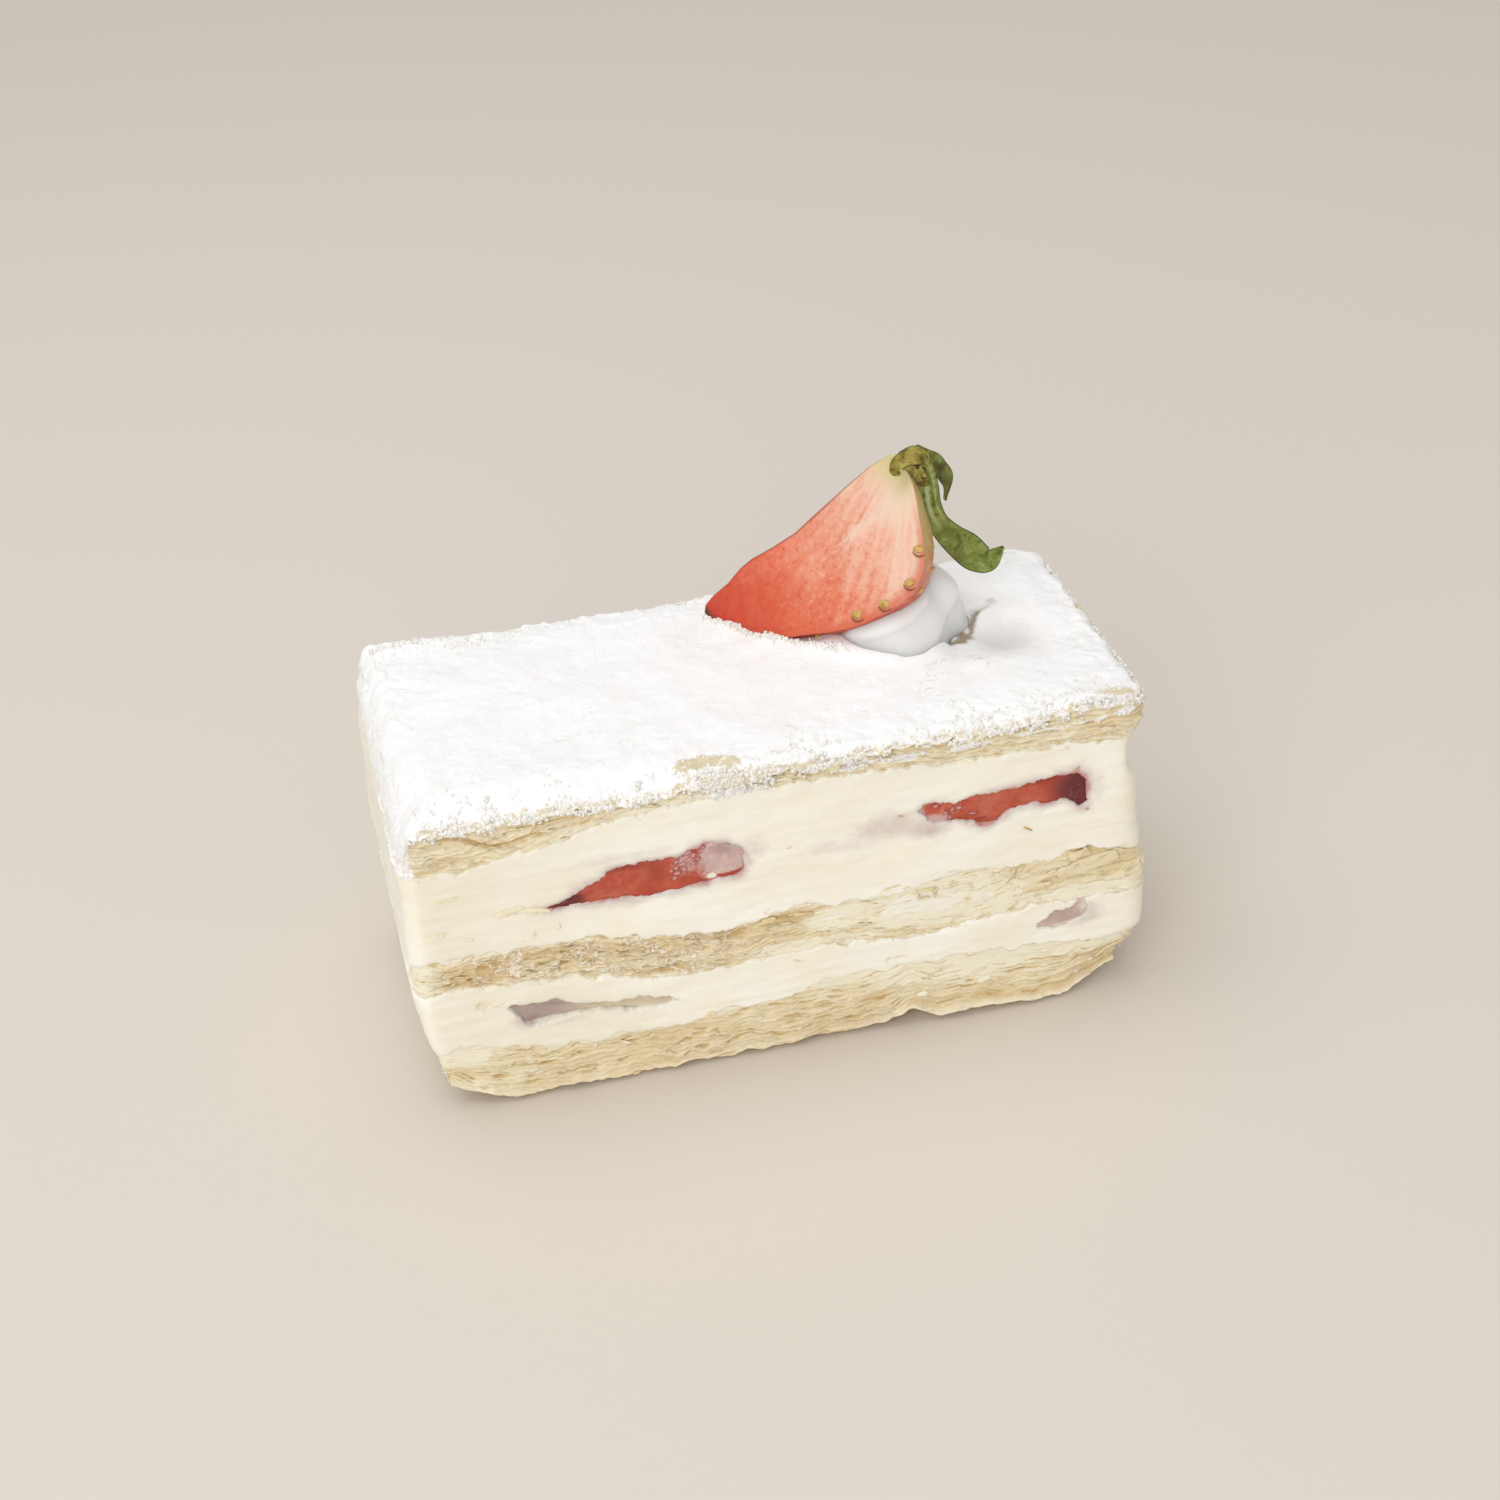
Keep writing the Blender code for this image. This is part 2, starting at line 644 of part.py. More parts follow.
def main():
    clear_scene()
    base_top = (layer_surface(BASE_PASTRY_TOP, 1.5), BASE_PASTRY_LEVEL)
    middle_bottom = (layer_surface(MIDDLE_PASTRY_BOTTOM, 2.5), MIDDLE_BOTTOM_LEVEL)
    middle_top = (layer_surface(MIDDLE_PASTRY_TOP, 3.5), MIDDLE_TOP_LEVEL)
    top_bottom = (layer_surface(TOP_PASTRY_BOTTOM, 4.5), TOP_BOTTOM_LEVEL)

    make_base_pastry()
    lower = make_layer("lower_cream", base_top, middle_bottom, 3, creamy(21.0), CREAM)
    make_layer("middle_pastry", middle_bottom, middle_top, 4, flaky(31.0, 4), PASTRY)
    upper = make_layer("upper_cream", middle_top, top_bottom, 5, creamy(41.0), CREAM)
    top = make_top_pastry()

    for side, berries in ((-1, FRONT_BERRIES), (1, BACK_BERRIES)):
        for name, values in berries.items():
            make_half_berry(name, lower if "low" in name else upper, side, **values)

    quarter_berry("berry_quarter", 0)
    berry_cutter = as_cutter(quarter_berry("berry_quarter_seat", GAP))
    cut(top, berry_cutter)
    make_swirl(berry_cutter)
    cut(make_leaf_cap("leaf_cap", 0), berry_cutter)
    cap_cutter = as_cutter(make_leaf_cap("leaf_cap_seat", GAP))
    for name, values in LEAVES.items():
        ribbon_leaf(name, **values, cutters=[cap_cutter, berry_cutter])


main()
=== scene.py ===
import math

import bpy
import numpy as np
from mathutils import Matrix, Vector


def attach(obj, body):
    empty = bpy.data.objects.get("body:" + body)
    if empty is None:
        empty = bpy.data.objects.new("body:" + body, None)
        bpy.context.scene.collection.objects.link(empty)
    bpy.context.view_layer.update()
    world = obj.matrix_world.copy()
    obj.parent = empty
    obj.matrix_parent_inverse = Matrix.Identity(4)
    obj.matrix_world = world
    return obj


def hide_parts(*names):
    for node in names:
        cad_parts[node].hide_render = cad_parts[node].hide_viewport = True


# A slice of strawberry mille feuille. Shapes are worked out in millimetres, on the frame's own axes:
# x along the slice, y from the seen cut face (y = -25.6) to the back, z up from the surface it stands on.
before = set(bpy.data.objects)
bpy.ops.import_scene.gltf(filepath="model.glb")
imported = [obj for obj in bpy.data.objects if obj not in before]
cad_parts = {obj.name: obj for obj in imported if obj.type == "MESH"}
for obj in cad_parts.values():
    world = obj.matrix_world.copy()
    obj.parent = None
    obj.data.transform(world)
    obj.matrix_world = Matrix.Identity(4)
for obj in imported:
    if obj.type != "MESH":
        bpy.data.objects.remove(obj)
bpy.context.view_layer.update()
mm = 0.001
print("frame loaded:", len(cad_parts), "nodes")


# helpers for whole arrays

# 3t^2 - 2t^3 between 0 and 1
def smoothStep(t):
    t = np.clip(t, 0, 1)
    return t * t * (3 - 2 * t)


# a bell curve: 1 at 0, and 0.37 one width away
def bell(t):
    return np.exp(-t ** 2)


# each corner of a unit cell gets a hashed value from -1 to 1, and they are blended smoothly across the cell
def latticeNoise(x, y, z, seed):
    x, y, z = np.broadcast_arrays(x, y, z)
    corner = [np.floor(a).astype(np.int64) for a in (x, y, z)]
    part = [a - b for a, b in zip((x, y, z), corner)]
    fade = [p ** 3 * (p * (p * 6 - 15) + 10) for p in part]
    total = np.zeros(x.shape)
    for dx in (0, 1):
        for dy in (0, 1):
            for dz in (0, 1):
                n = ((corner[0] + dx) * 1619 + (corner[1] + dy) * 31337 + (corner[2] + dz) * 6971
                        + seed * 1013)
                n = ((n << 13) ^ n) & 0x7FFFFFFF
                n = (n * (n * n * 15731 + 789221) + 1376312589) & 0x7FFFFFFF
                weight = (fade[0] if dx else 1 - fade[0]) * (fade[1] if dy else 1 - fade[1])
                weight = weight * (fade[2] if dz else 1 - fade[2])
                total += weight * (n / 1073741824.0 - 1)
    return total


# the noise summed at sizes that halve, each with half the height of the one before
def roughNoise(x, y, z, size, octaves, seed):
    total, height = 0, 1.0
    for octave in range(octaves):
        scale = 2.0 ** octave / size
        total = total + height * latticeNoise(x * scale, y * scale, z * scale, seed + 17 * octave)
        height *= 0.5
    return total


# a smooth curve through evenly spaced values, read at shares from 0 to 1
def smoothCurve(values, share):
    values = np.asarray(values, float)
    place = np.clip(share, 0, 1) * (len(values) - 1)
    index = np.minimum(place.astype(int), len(values) - 2)
    t = place - index
    if values.ndim > 1:
        t = t[..., None]
    low, high = values[index], values[index + 1]
    before = values[np.maximum(index - 1, 0)]
    after = values[np.minimum(index + 2, len(values) - 1)]
    start, end = (high - before) / 2, (after - low) / 2
    return (low * (1 + 2 * t) * (1 - t) ** 2 + start * t * (1 - t) ** 2
            + high * t * t * (3 - 2 * t) + end * t * t * (t - 1))


# quads between neighbouring rows and columns of a grid whose columns wrap round
def gridFaces(rows, columns):
    row = np.arange(rows - 1)[:, None] * columns
    column = np.arange(columns)[None, :]
    beside = (column + 1) % columns
    corners = (row + column, row + beside, row + columns + beside, row + columns + column)
    return np.stack(corners, -1).reshape(-1, 4)


# such a grid closed by one point at each end
def tubeFaces(rows, columns):
    around = np.arange(columns)
    beside = (around + 1) % columns
    last = (rows - 1) * columns
    pole = np.full(columns, rows * columns)
    start = np.stack((beside, around, pole), -1)
    end = np.stack((last + around, last + beside, pole + 1), -1)
    return gridFaces(rows, columns).tolist() + start.tolist() + end.tolist()


# one mesh object with its place in its mesh, which rides on the slice
def addPiece(name, points, faces, material, stands=(), values=None):
    mesh = bpy.data.meshes.new(name)
    mesh.from_pydata((np.asarray(points) * mm).tolist(), [], [tuple(face) for face in faces])
    mesh.shade_smooth()
    for key, array in (values or {}).items():
        layer = mesh.attributes.new(key, "FLOAT", "POINT")
        layer.data.foreach_set("value", np.asarray(array, np.float32).ravel())
    mesh.materials.append(material)
    piece = bpy.data.objects.new(name, mesh)
    bpy.context.scene.collection.objects.link(piece)
    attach(piece, "root")
    if stands:
        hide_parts(*stands)
    return piece


# a tube grid of shape (rows, columns, 3) as a closed piece; its attributes have the grid's shape
def addTube(name, grid, material, stands=(), values=None):
    rows, columns = grid.shape[:2]
    points = np.concatenate((grid.reshape(-1, 3), grid[0].mean(0)[None], grid[-1].mean(0)[None]))
    padded = {
        key: np.concatenate((array.ravel(), [array[0].mean()], [array[-1].mean()]))
        for key, array in (values or {}).items()
    }
    return addPiece(name, points, tubeFaces(rows, columns), material, stands, padded)


# noise whose grains are one size across and another one upwards
def grainNoise(x, y, z, across, up, seed):
    return latticeNoise(x / across, y / across, z / up, seed)


# distance in mm from places to a line through points
def lineDistance(x, z, line):
    nearest = np.full(np.shape(x), 1e9)
    for (ax, az), (bx, bz) in zip(line[:-1], line[1:]):
        dx, dz = bx - ax, bz - az
        t = np.clip(((x - ax) * dx + (z - az) * dz) / (dx * dx + dz * dz), 0, 1)
        nearest = np.minimum(nearest, np.hypot(x - ax - t * dx, z - az - t * dz))
    return nearest


# soft spots given as two coordinates, two half widths and a strength: the strongest counts
def softSpots(u, v, spots):
    total = np.zeros(np.shape(u))
    for atU, atV, halfU, halfV, strength in spots:
        reach = ((u - atU) / halfU) ** 2 + ((v - atV) / halfV) ** 2
        total = np.maximum(total, strength * np.exp(-reach ** 1.5))
    return total


# x as seen from the front: the back is the front turned end for end
def facingX(x, y):
    return np.where(y < 0, x, -x)


# distance in mm from points to a closed outline in x and z, positive inside it
def outlineDistance(x, z, outline):
    closed = np.concatenate((outline, outline[:1]))
    inside = np.zeros(x.shape, bool)
    for (ax, az), (bx, bz) in zip(closed[:-1], closed[1:]):
        crosses = (az > z) != (bz > z)
        inside ^= crosses & (x < (z - az) / (bz - az + 1e-12) * (bx - ax) + ax)
    return np.where(inside, 1, -1) * lineDistance(x, z, closed)


# a closed outline's points made smooth and evenly numbered
def roundOutline(outline, count):
    points = np.asarray(outline, float)
    looped = np.concatenate((points[-1:], points, points[:2]))
    share = (1 + np.arange(count) / count * len(points)) / (len(looped) - 1)
    return smoothCurve(looped, share)


# helpers for materials

# a colour as it looks on a screen, in steps of 255, made linear
def tone(*colour):
    linear = [(c / 255 / 12.92) if c < 11 else ((c / 255 + 0.055) / 1.055) ** 2.4 for c in colour]
    return (*linear, 1)


class Signal:
    # a value that one node passes to another: + - * and abs each add a Math node
    def __init__(self, finish, socket):
        self.finish, self.socket = finish, socket

    def math(self, operation, other):
        return self.finish.node("Math", 0, {0: self, 1: other}, operation=operation)

    def __add__(self, other):
        return self.math("ADD", other)

    def __sub__(self, other):
        return self.math("SUBTRACT", other)

    def __mul__(self, other):
        return self.math("MULTIPLY", other)

    def __abs__(self):
        return self.math("ABSOLUTE", 0)

    # the value plus noise centred on 0 with the given height
    def ragged(self, noise, height):
        return self + (noise - 0.5) * height

    # the value stretched from (low, high) to 0 and 1
    def span(self, low, high):
        sockets = {"Value": self, "From Min": low, "From Max": high}
        return self.finish.node("MapRange", "Result", sockets, interpolation_type="SMOOTHSTEP")

    # the value's colour between stops, each a place from 0 to 1 and a colour
    def ramp(self, *stops):
        made = self.finish.node("ValToRGB", "Color", {"Fac": self})
        elements = made.socket.node.color_ramp.elements
        while len(elements) < len(stops):
            elements.new(0.5)
        for element, (place, colour) in zip(elements, stops):
            element.position = place
            element.color = tone(*colour)
        return made


class Finish:
    # a material whose nodes are added one by one and linked as they are made
    def __init__(self, name, roughness, specular=0.4):
        self.material = bpy.data.materials.new(name)
        self.material.use_nodes = True
        self.tree = self.material.node_tree
        self.shader = self.tree.nodes["Principled BSDF"]
        self.shader.inputs["Roughness"].default_value = roughness
        self.shader.inputs["Specular IOR Level"].default_value = specular

    def put(self, socket, value):
        if isinstance(value, Signal):
            self.tree.links.new(value.socket, socket)
        else:
            socket.default_value = value

    # a new node with the values of its sockets, and what comes out of it
    def node(self, kind, output, sockets, **settings):
        made = self.tree.nodes.new("ShaderNode" + kind)
        for key, value in settings.items():
            setattr(made, key, value)
        for key, value in sockets.items():
            self.put(made.inputs[key], value)
        return Signal(self, made.outputs[output])

    def attribute(self, name):
        return self.node("Attribute", "Fac", {}, attribute_name=name)

    # noise on the piece's own coordinates, scaled along each axis
    def noise(self, scale, detail=4.0, rough=0.55, stretch=(1, 1, 1), twist=0.0):
        place = self.node("TexCoord", "Object", {})
        if stretch != (1, 1, 1):
            place = self.node("Mapping", "Vector", {"Vector": place, "Scale": stretch})
        sockets = {"Vector": place, "Scale": scale, "Detail": detail, "Roughness": rough,
                "Distortion": twist}
        return self.node("TexNoise", "Fac", sockets)

    # thin wandering lines: 1 where twisted noise crosses its middle value
    def squiggles(self, scale, width, twist=2.0):
        return abs(self.noise(scale, 2, 0.5, (1, 1, 1), twist) - 0.5).span(width, 0.0)

    def mix(self, share, *colours):
        a, b = (tone(*colour) if isinstance(colour, tuple) else colour for colour in colours)
        return self.node("Mix", 2, {0: share, 6: a, 7: b}, data_type="RGBA")

    def colour(self, value):
        self.put(self.shader.inputs["Base Color"], value)

    def bump(self, height, strength, distance):
        normal = self.node("Bump", "Normal", {"Height": height, "Strength": strength, "Distance": distance})
        self.put(self.shader.inputs["Normal"], normal)

    def glow(self, weight, radius, scale):
        for key, value in (("Weight", weight), ("Radius", radius), ("Scale", scale)):
            self.shader.inputs["Subsurface " + key].default_value = value


# the slice's outline and the surfaces between its layers

slicePlan = dict(
    halfLength=53.6, halfDepth=25.3, corner=3.0, length=110.0, depth=51.5, crust=50.6, band=6.0,
    # how far the ends stand out at even steps of height, from base to crust
    leftReach=[-4.5, -2.9, -1.2, -0.1, 0.5, 0.6, 0.5, 0.4, 0.4, -0.6, -2.0],
    rightReach=[-3.8, -0.6, 1.4, 1.7, 1.7, 0.8, 0.3, 0.2, -2.7, 1.2, 0.5],
)

# heights along the front cut, left to right, and the level that each surface has behind the cuts
layerHeights = dict(
    baseTop=([10.8, 10.0, 8.6, 7.6, 8.4, 8.3, 9.5, 10.7, 10.8, 10.3, 9.3, 9.1, 9.2], 9.4),
    middleBottom=([21.1, 21.0, 20.4, 19.1, 17.6, 16.8, 17.3, 17.0, 16.4, 16.3, 17.4, 17.8, 17.5], 17.8),
    middleTop=([25.3, 25.8, 26.5, 25.0, 23.7, 22.6, 24.2, 23.8, 23.8, 24.8, 24.5, 25.6, 22.3], 24.4),
    topBottom=([41.3, 41.6, 42.1, 44.2, 45.7, 45.9, 45.9, 45.6, 45.2, 44.7, 44.2, 44.1, 43.8], 44.4),
    crust=([49.6, 49.2, 48.9, 48.8, 49.2, 50.5, 49.9, 49.8, 49.8, 49.8, 50.2, 51.0, 50.4], 50.6),
)


# evenly spaced points on the rounded outline, from the middle of the left end round by the front, and
# their outward normals: straight runs joined by quarter circles
def outlineRing(count):
    halfX = slicePlan["halfLength"] - slicePlan["corner"]
    halfY = slicePlan["halfDepth"] - slicePlan["corner"]
    radius = slicePlan["corner"]
    runs = np.array([2 * halfX, math.pi * radius / 2, 2 * halfY, math.pi * radius / 2] * 2)
    starts = np.concatenate(([0], np.cumsum(runs)))
    along = ((np.arange(count) + 0.5) / count * starts[-1] - runs[1] - runs[2] / 2) % starts[-1]
    index = np.searchsorted(starts, along, side="right") - 1
    share = (along - starts[index]) / runs[index]
    side = index // 2
    isCorner = index % 2 == 1
    centreX = np.array([-halfX, halfX, halfX, -halfX])
    centreY = np.array([-halfY, -halfY, halfY, halfY])
    following = (side + 1) % 4
    angle = (side + 3) * math.pi / 2 + np.where(isCorner, share * math.pi / 2, 0)
    normalX, normalY = np.cos(angle), np.sin(angle)
    baseX = np.where(isCorner, centreX[following], centreX[side] * (1 - share) + centreX[following] * share)
    baseY = np.where(isCorner, centreY[following], centreY[side] * (1 - share) + centreY[following] * share)
    return baseX + radius * normalX, baseY + radius * normalY, normalX, normalY


# a layer surface's height: the front's curve, turned end for end at the back, and level between the cuts
def surfaceHeight(key, x, y):
    stations, level = layerHeights[key]
    share = x / slicePlan["length"] + 0.5
    across = smoothStep(y / slicePlan["depth"] + 0.5)
    side = smoothCurve(stations, share) * (1 - across) + smoothCurve(stations, 1 - share) * across
    inside = np.minimum(slicePlan["halfLength"] - np.abs(x), slicePlan["halfDepth"] - np.abs(y))
    weight = 1 - smoothStep(inside / slicePlan["band"])
    return side * weight + level * (1 - weight)


# how far the slice's ends stand out at a height, on the sides that face them
def endReach(normalX, height):
    share = height / slicePlan["crust"]
    left = smoothCurve(slicePlan["leftReach"], share) * np.maximum(0, -normalX) ** 2
    right = smoothCurve(slicePlan["rightReach"], share) * np.maximum(0, normalX) ** 2
    return left + right


# places on a side wall: share is 0 at the bottom of the layer and 1 at its top
def wallPlaces(ring, share, lowKey, highKey, below=0.0, above=0.0):
    x, y, normalX, normalY = (a + 0 * share for a in ring)
    low = surfaceHeight(lowKey, x, y) - below if lowKey else 0 * x
    high = surfaceHeight(highKey, x, y) + above
    z = low + (high - low) * share
    return dict(x=x, y=y, normalX=normalX, normalY=normalY, share=share + 0 * x, z=z, low=low, high=high)


# a side wall's grid: rows up the layer, columns round the outline
def wallGrid(lowKey, highKey, rows, columns, below=0.0, above=0.0):
    ring = [a[None, :] for a in outlineRing(columns)]
    return wallPlaces(ring, np.linspace(0, 1, rows)[:, None], lowKey, highKey, below, above)


# the wall's grid pushed outwards, with rings that close it below and above towards the slice's middle:
# the upper ones may sink
def closedLayer(wall, out, sink=0.0):
    reach = endReach(wall["normalX"], wall["z"])
    x = wall["x"] + wall["normalX"] * (out + reach)
    y = wall["y"] + wall["normalY"] * (out + reach)
    grid = np.stack((x, y, wall["z"]), -1)
    shares = np.array([0.06, 0.3, 0.75])[:, None, None]
    rings = []
    for edge, order, depth in ((grid[0], shares[::-1], 0.0), (grid[-1], shares, sink)):
        middle = np.array([0, 0, edge[:, 2].mean()])
        rings.append(edge[None] * (1 - order) + middle * order - np.array([0, 0, depth]))
    return np.concatenate((rings[0], grid, rings[1]))


# an attribute of the wall repeated on the rings that close it
def closedValues(array):
    return np.concatenate((np.repeat(array[:1], 3, 0), array, np.repeat(array[-1:], 3, 0)))


# pastry

pastryLook = dict(
    deep=(184, 146, 90), shade=(222, 202, 154), body=(234, 219, 182), light=(247, 239, 214),
    toasted=(214, 186, 136), smear=(244, 237, 214), smearCreaseShade=(228, 206, 158), coat=(248, 244, 230),
    sugar=(253, 252, 250), curl=(251, 246, 230), pit=(178, 140, 92), roughness=0.85,
)


def pastryMaterial():
    look = pastryLook
    finish = Finish("flaky pastry", look["roughness"], 0.25)
    shreds = finish.noise(700, 5, 0.65, (1, 1, 2.0), 1.2)
    mottled = finish.noise(150, 4, 0.6, (1, 1, 2))
    crumb = finish.noise(1700, 4, 0.7)
    # relief colours the leaves from deep to light: deep and shade are painted shade in grooves, slits and
    # pits, and light is painted light where the leaves stand out
    height = finish.attribute("relief").ragged(shreds, 0.42).ragged(crumb, 0.16)
    leaves = height.ramp((0.05, look["deep"]), (0.3, look["shade"]), (0.56, look["body"]),
            (0.88, look["light"]))
    # toast is the pastry's own browning, and also painted shade on the leaves' undersides, in the holes, in
    # the cavity and in the crease above the base's lip
    baked = finish.mix(finish.attribute("toastAndShade") * mottled.span(0.25, 0.7), leaves, look["toasted"])
    # short pale curls with a dark side painted as their shade, where twisted noise is near its middle value
    twisted = abs(finish.noise(300, 2, 0.5, (1, 1, 1.8), 2.0) - 0.5)
    short = finish.noise(240, 2, 0.5).span(0.46, 0.56) * finish.attribute("curly")
    hollow = twisted.span(0.14, 0.06) * short * 0.5
    curl = twisted.span(0.06, 0.03) * short * 0.75
    baked = finish.mix(curl, finish.mix(hollow, baked, look["pit"]), look["curl"])
    # cream smeared over the cut, thin and then thick; the thin smear's low places are painted tan as shade
    cover = finish.attribute("smear").ragged(shreds, 0.8).ragged(mottled, 0.7)
    thin = finish.mix(height.span(0.2, 0.55), look["smearCreaseShade"], look["smear"])
    smeared = finish.mix(cover.span(0.22, 0.72), baked, thin)
    smeared = finish.mix(cover.span(1.05, 1.5), smeared, look["coat"])
    dust = finish.attribute("sugar").ragged(crumb, 1.0).ragged(shreds, 0.9)
    finish.colour(finish.mix(dust.span(0.42, 0.6), smeared, look["sugar"]))
    finish.bump(shreds + crumb * 0.3 + (curl - hollow) * 0.5, 0.45, 0.0004)
    finish.glow(0.25, (1.0, 1.0, 0.95), 0.0005)  # alike for each colour, or thin chips turn blue
    return finish.material


# stacked leaves seen from the side, with heights counted in leaves. Each leaf stands out by its own slow
# noise along the cut and a finer one tears its edge; slits open at joints where a third noise is high.
# crumple bends the leaves, steps puts square slabs in place of the tears, and crumbly adds lumps and pits.
def leafRelief(x, y, leaf, seed, pitch, slits, crumple, torn, steps=0.0, crumbly=0.0):
    bent = leaf + crumple * grainNoise(x, y, leaf, 1.7, 1.2, seed + 4)
    bent = bent + 0.35 * crumple * grainNoise(x, y, leaf, 0.7, 0.5, seed + 5)
    count = bent / pitch
    index, joint = np.floor(count), np.round(count)
    level = latticeNoise(x / 6, y / 6, index * 7.31, seed)
    tear = latticeNoise(x / 1.4, y / 1.4, index * 3.17, seed + 1)
    tear = tear + 0.5 * latticeNoise(x / 0.6, y / 0.6, index * 5.9, seed + 2)
    groove = np.abs(2 * (count - index) - 1) ** 4
    opening = smoothStep((latticeNoise(x / 2.3, y / 2.3, joint * 5.7, seed + 3) - 0.36) / 0.22)
    slit = opening * bell((count - joint) * pitch / 0.17) * slits
    squares = np.tanh(7 * grainNoise(x, y, leaf, 4.5, 1.4, seed + 6))
    broad = grainNoise(x, y, leaf, 9, 5, seed + 7)
    lumps = 1.2 - 4 * np.abs(grainNoise(x, y, leaf, 2.0, 0.9, seed + 8))
    lumps = np.clip(lumps + 0.5 * grainNoise(x, y, leaf, 0.6, 0.5, seed + 9), -0.8, 1.2)
    pits = smoothStep((grainNoise(x, y, leaf, 1.7, 0.6, seed + 10) - 0.45) / 0.15)
    texture = torn * tear * (1 - 0.8 * steps) + 0.12 * steps * squares + 0.2 * crumbly * lumps
    out = 0.22 * level + texture + 0.25 * broad - 0.12 * groove - 0.6 * slit - 0.5 * crumbly * pits
    # the lightness paints light where the leaves and torn edges stand out, and shade in the grooves, slits
    # and pits
    shadedTone = 0.66 + 0.1 * level + 0.5 * texture - 0.12 * groove - 0.5 * slit - 0.4 * crumbly * pits
    return out, np.clip(shadedTone, 0, 1)


# the sheet's own height through its leaves, bent by long and short waves
def leafHeight(wall, seed):
    x, y = wall["x"], wall["y"]
    waves = 0.75 * latticeNoise(x / 8, y / 8, wall["share"], seed)
    waves = waves + 0.3 * latticeNoise(x / 2.6, y / 2.6, 0, seed + 1)
    return wall["z"] - wall["low"] + waves


# soft spots on the front as x, z, half width, half height, strength; the back has them turned end for end
def patches(wall, spots):
    return softSpots(facingX(wall["x"], wall["y"]), wall["z"], spots)


# 1 on a line through points given as x and z on the front, falling off over its half width
def nearLine(wall, points, halfWidth):
    return bell(lineDistance(wall["x"], wall["z"], points) / halfWidth) * (wall["y"] < 0)


# 1 on the slice's left end, which is smeared and dusted over
def leftEnd(wall):
    return smoothStep((-wall["normalX"] - 0.3) / 0.4)


# 1 where the layer meets its neighbours above and below
def nearRim(wall, width):
    depth = np.minimum(wall["share"], 1 - wall["share"]) * (wall["high"] - wall["low"])
    return np.exp(-depth / width)


basePastry = dict(
    rows=80, columns=1150, seed=11, rimLift=2.6, rimStart=41, rimRun=13, drawIn=3.0, notchX=18,
    notchWidth=2.6, notchLift=1.9, lipX=12, lipOut=0.9,
    smear=[(-50, 9.6, 7, 3.2, 0.95), (-24, 9.4, 14, 1.2, 0.55), (6, 11, 12, 2.0, 0.9),
           (27, 9.4, 18, 3.2, 0.95), (46, 8.4, 9, 1.8, 0.75), (-47, 3, 6, 1.8, 0.5), (26, 6.2, 8, 1.4, 0.6),
           (40, 5.6, 7, 0.8, 0.5)],
    # small round holes between the leaves, as x, z, half width, half height, strength
    holes=[(-43.6, 4.6, 1.0, 0.4, 0.9), (-36.4, 5.6, 1.2, 0.3, 0.7), (-24.0, 6.4, 1.1, 0.25, 0.6),
           (-30.6, 2.6, 1.3, 0.3, 0.5), (-14.0, 5.6, 1.0, 0.3, 0.6), (0.5, 5.4, 1.6, 0.35, 0.7),
           (5.0, 6.3, 1.4, 0.25, 0.6), (-8.0, 7.6, 0.7, 0.3, 0.5), (8.6, 3.2, 1.2, 0.3, 0.6),
           (-39.0, 2.6, 1.2, 0.2, 0.5)],
)


# the base's bottom edge rises towards its corners as a smooth step and over the notch as a bell, and waves
def baseRim(x, y):
    values = basePastry
    corner = smoothStep((np.abs(x) - values["rimStart"]) / values["rimRun"])
    notch = np.exp(-np.abs((x - values["notchX"]) / values["notchWidth"]) ** 1.5) * (y < 0)
    scallops = 0.32 * (1.2 + roughNoise(x, y, 0, 3.2, 4, 12))
    return values["rimLift"] * corner + values["notchLift"] * notch + scallops


# how far the base's wall stands out, and its values for the material: so too for the other two sheets
def baseShape(wall):
    values = basePastry
    x, y, share = wall["x"], wall["y"], wall["share"]
    rim = baseRim(x, y)
    wall["z"] = rim + (wall["high"] - rim) * share
    wall["low"] = rim
    out, shadedTone = leafRelief(x, y, leafHeight(wall, 13), values["seed"], 0.75, 0.7, 0.34, 0.08, 0.0, 0.12)
    ragged = roughNoise(x, y, share, 2.4, 3, 14)
    corner = smoothStep((np.abs(x) + np.abs(y) + 1.5 * ragged) / 9 - 7.4)
    drawn = corner * (1 - share) ** 1.5 * values["drawIn"]
    lipHere = smoothStep((x - values["lipX"]) / 8) * (y < 0)
    lip = (0.4 + 0.6 * lipHere) * bell((share - 0.07) / 0.05)
    under = np.clip(1 - share / 0.07, 0, 1) ** 1.5
    holes = patches(wall, values["holes"])
    torn = 0.25 * ragged * (1 - share) ** 4
    out = out - drawn + lip * values["lipOut"] + torn - under - 0.8 * holes
    smear = np.maximum(0.98 * leftEnd(wall), patches(wall, values["smear"]))
    smear = np.maximum(smear, 0.7 * nearRim(wall, 1.3) * (share > 0.5))
    toastAndShade = 0.1 + 0.4 * smoothStep(latticeNoise(x / 14, y / 14, share * 1.5, 15) + 0.2) + 0.3 * (1 - share)
    # a tan line in the crease above the lip is painted shade
    toastAndShade = toastAndShade + 0.7 * lipHere * bell((share - 0.2) / 0.07)
    # the holes are painted darker and browner inside as shade, and left uncoated
    toastAndShade = (toastAndShade - 0.35 * patches(wall, [(-52, 6, 12, 8, 1.0)])) * (1 - 0.8 * lip) + holes
    shadedTone = shadedTone * (1 - 0.7 * lip) + 0.62 * lip - 0.6 * holes
    look = dict(relief=shadedTone, toastAndShade=toastAndShade, smear=smear * (1 - holes) * (1 - 0.6 * lip), sugar=0 * shadedTone,
            curly=0.25 + 0 * shadedTone)
    return out * (1 - 0.7 * smear) - 0.1, look


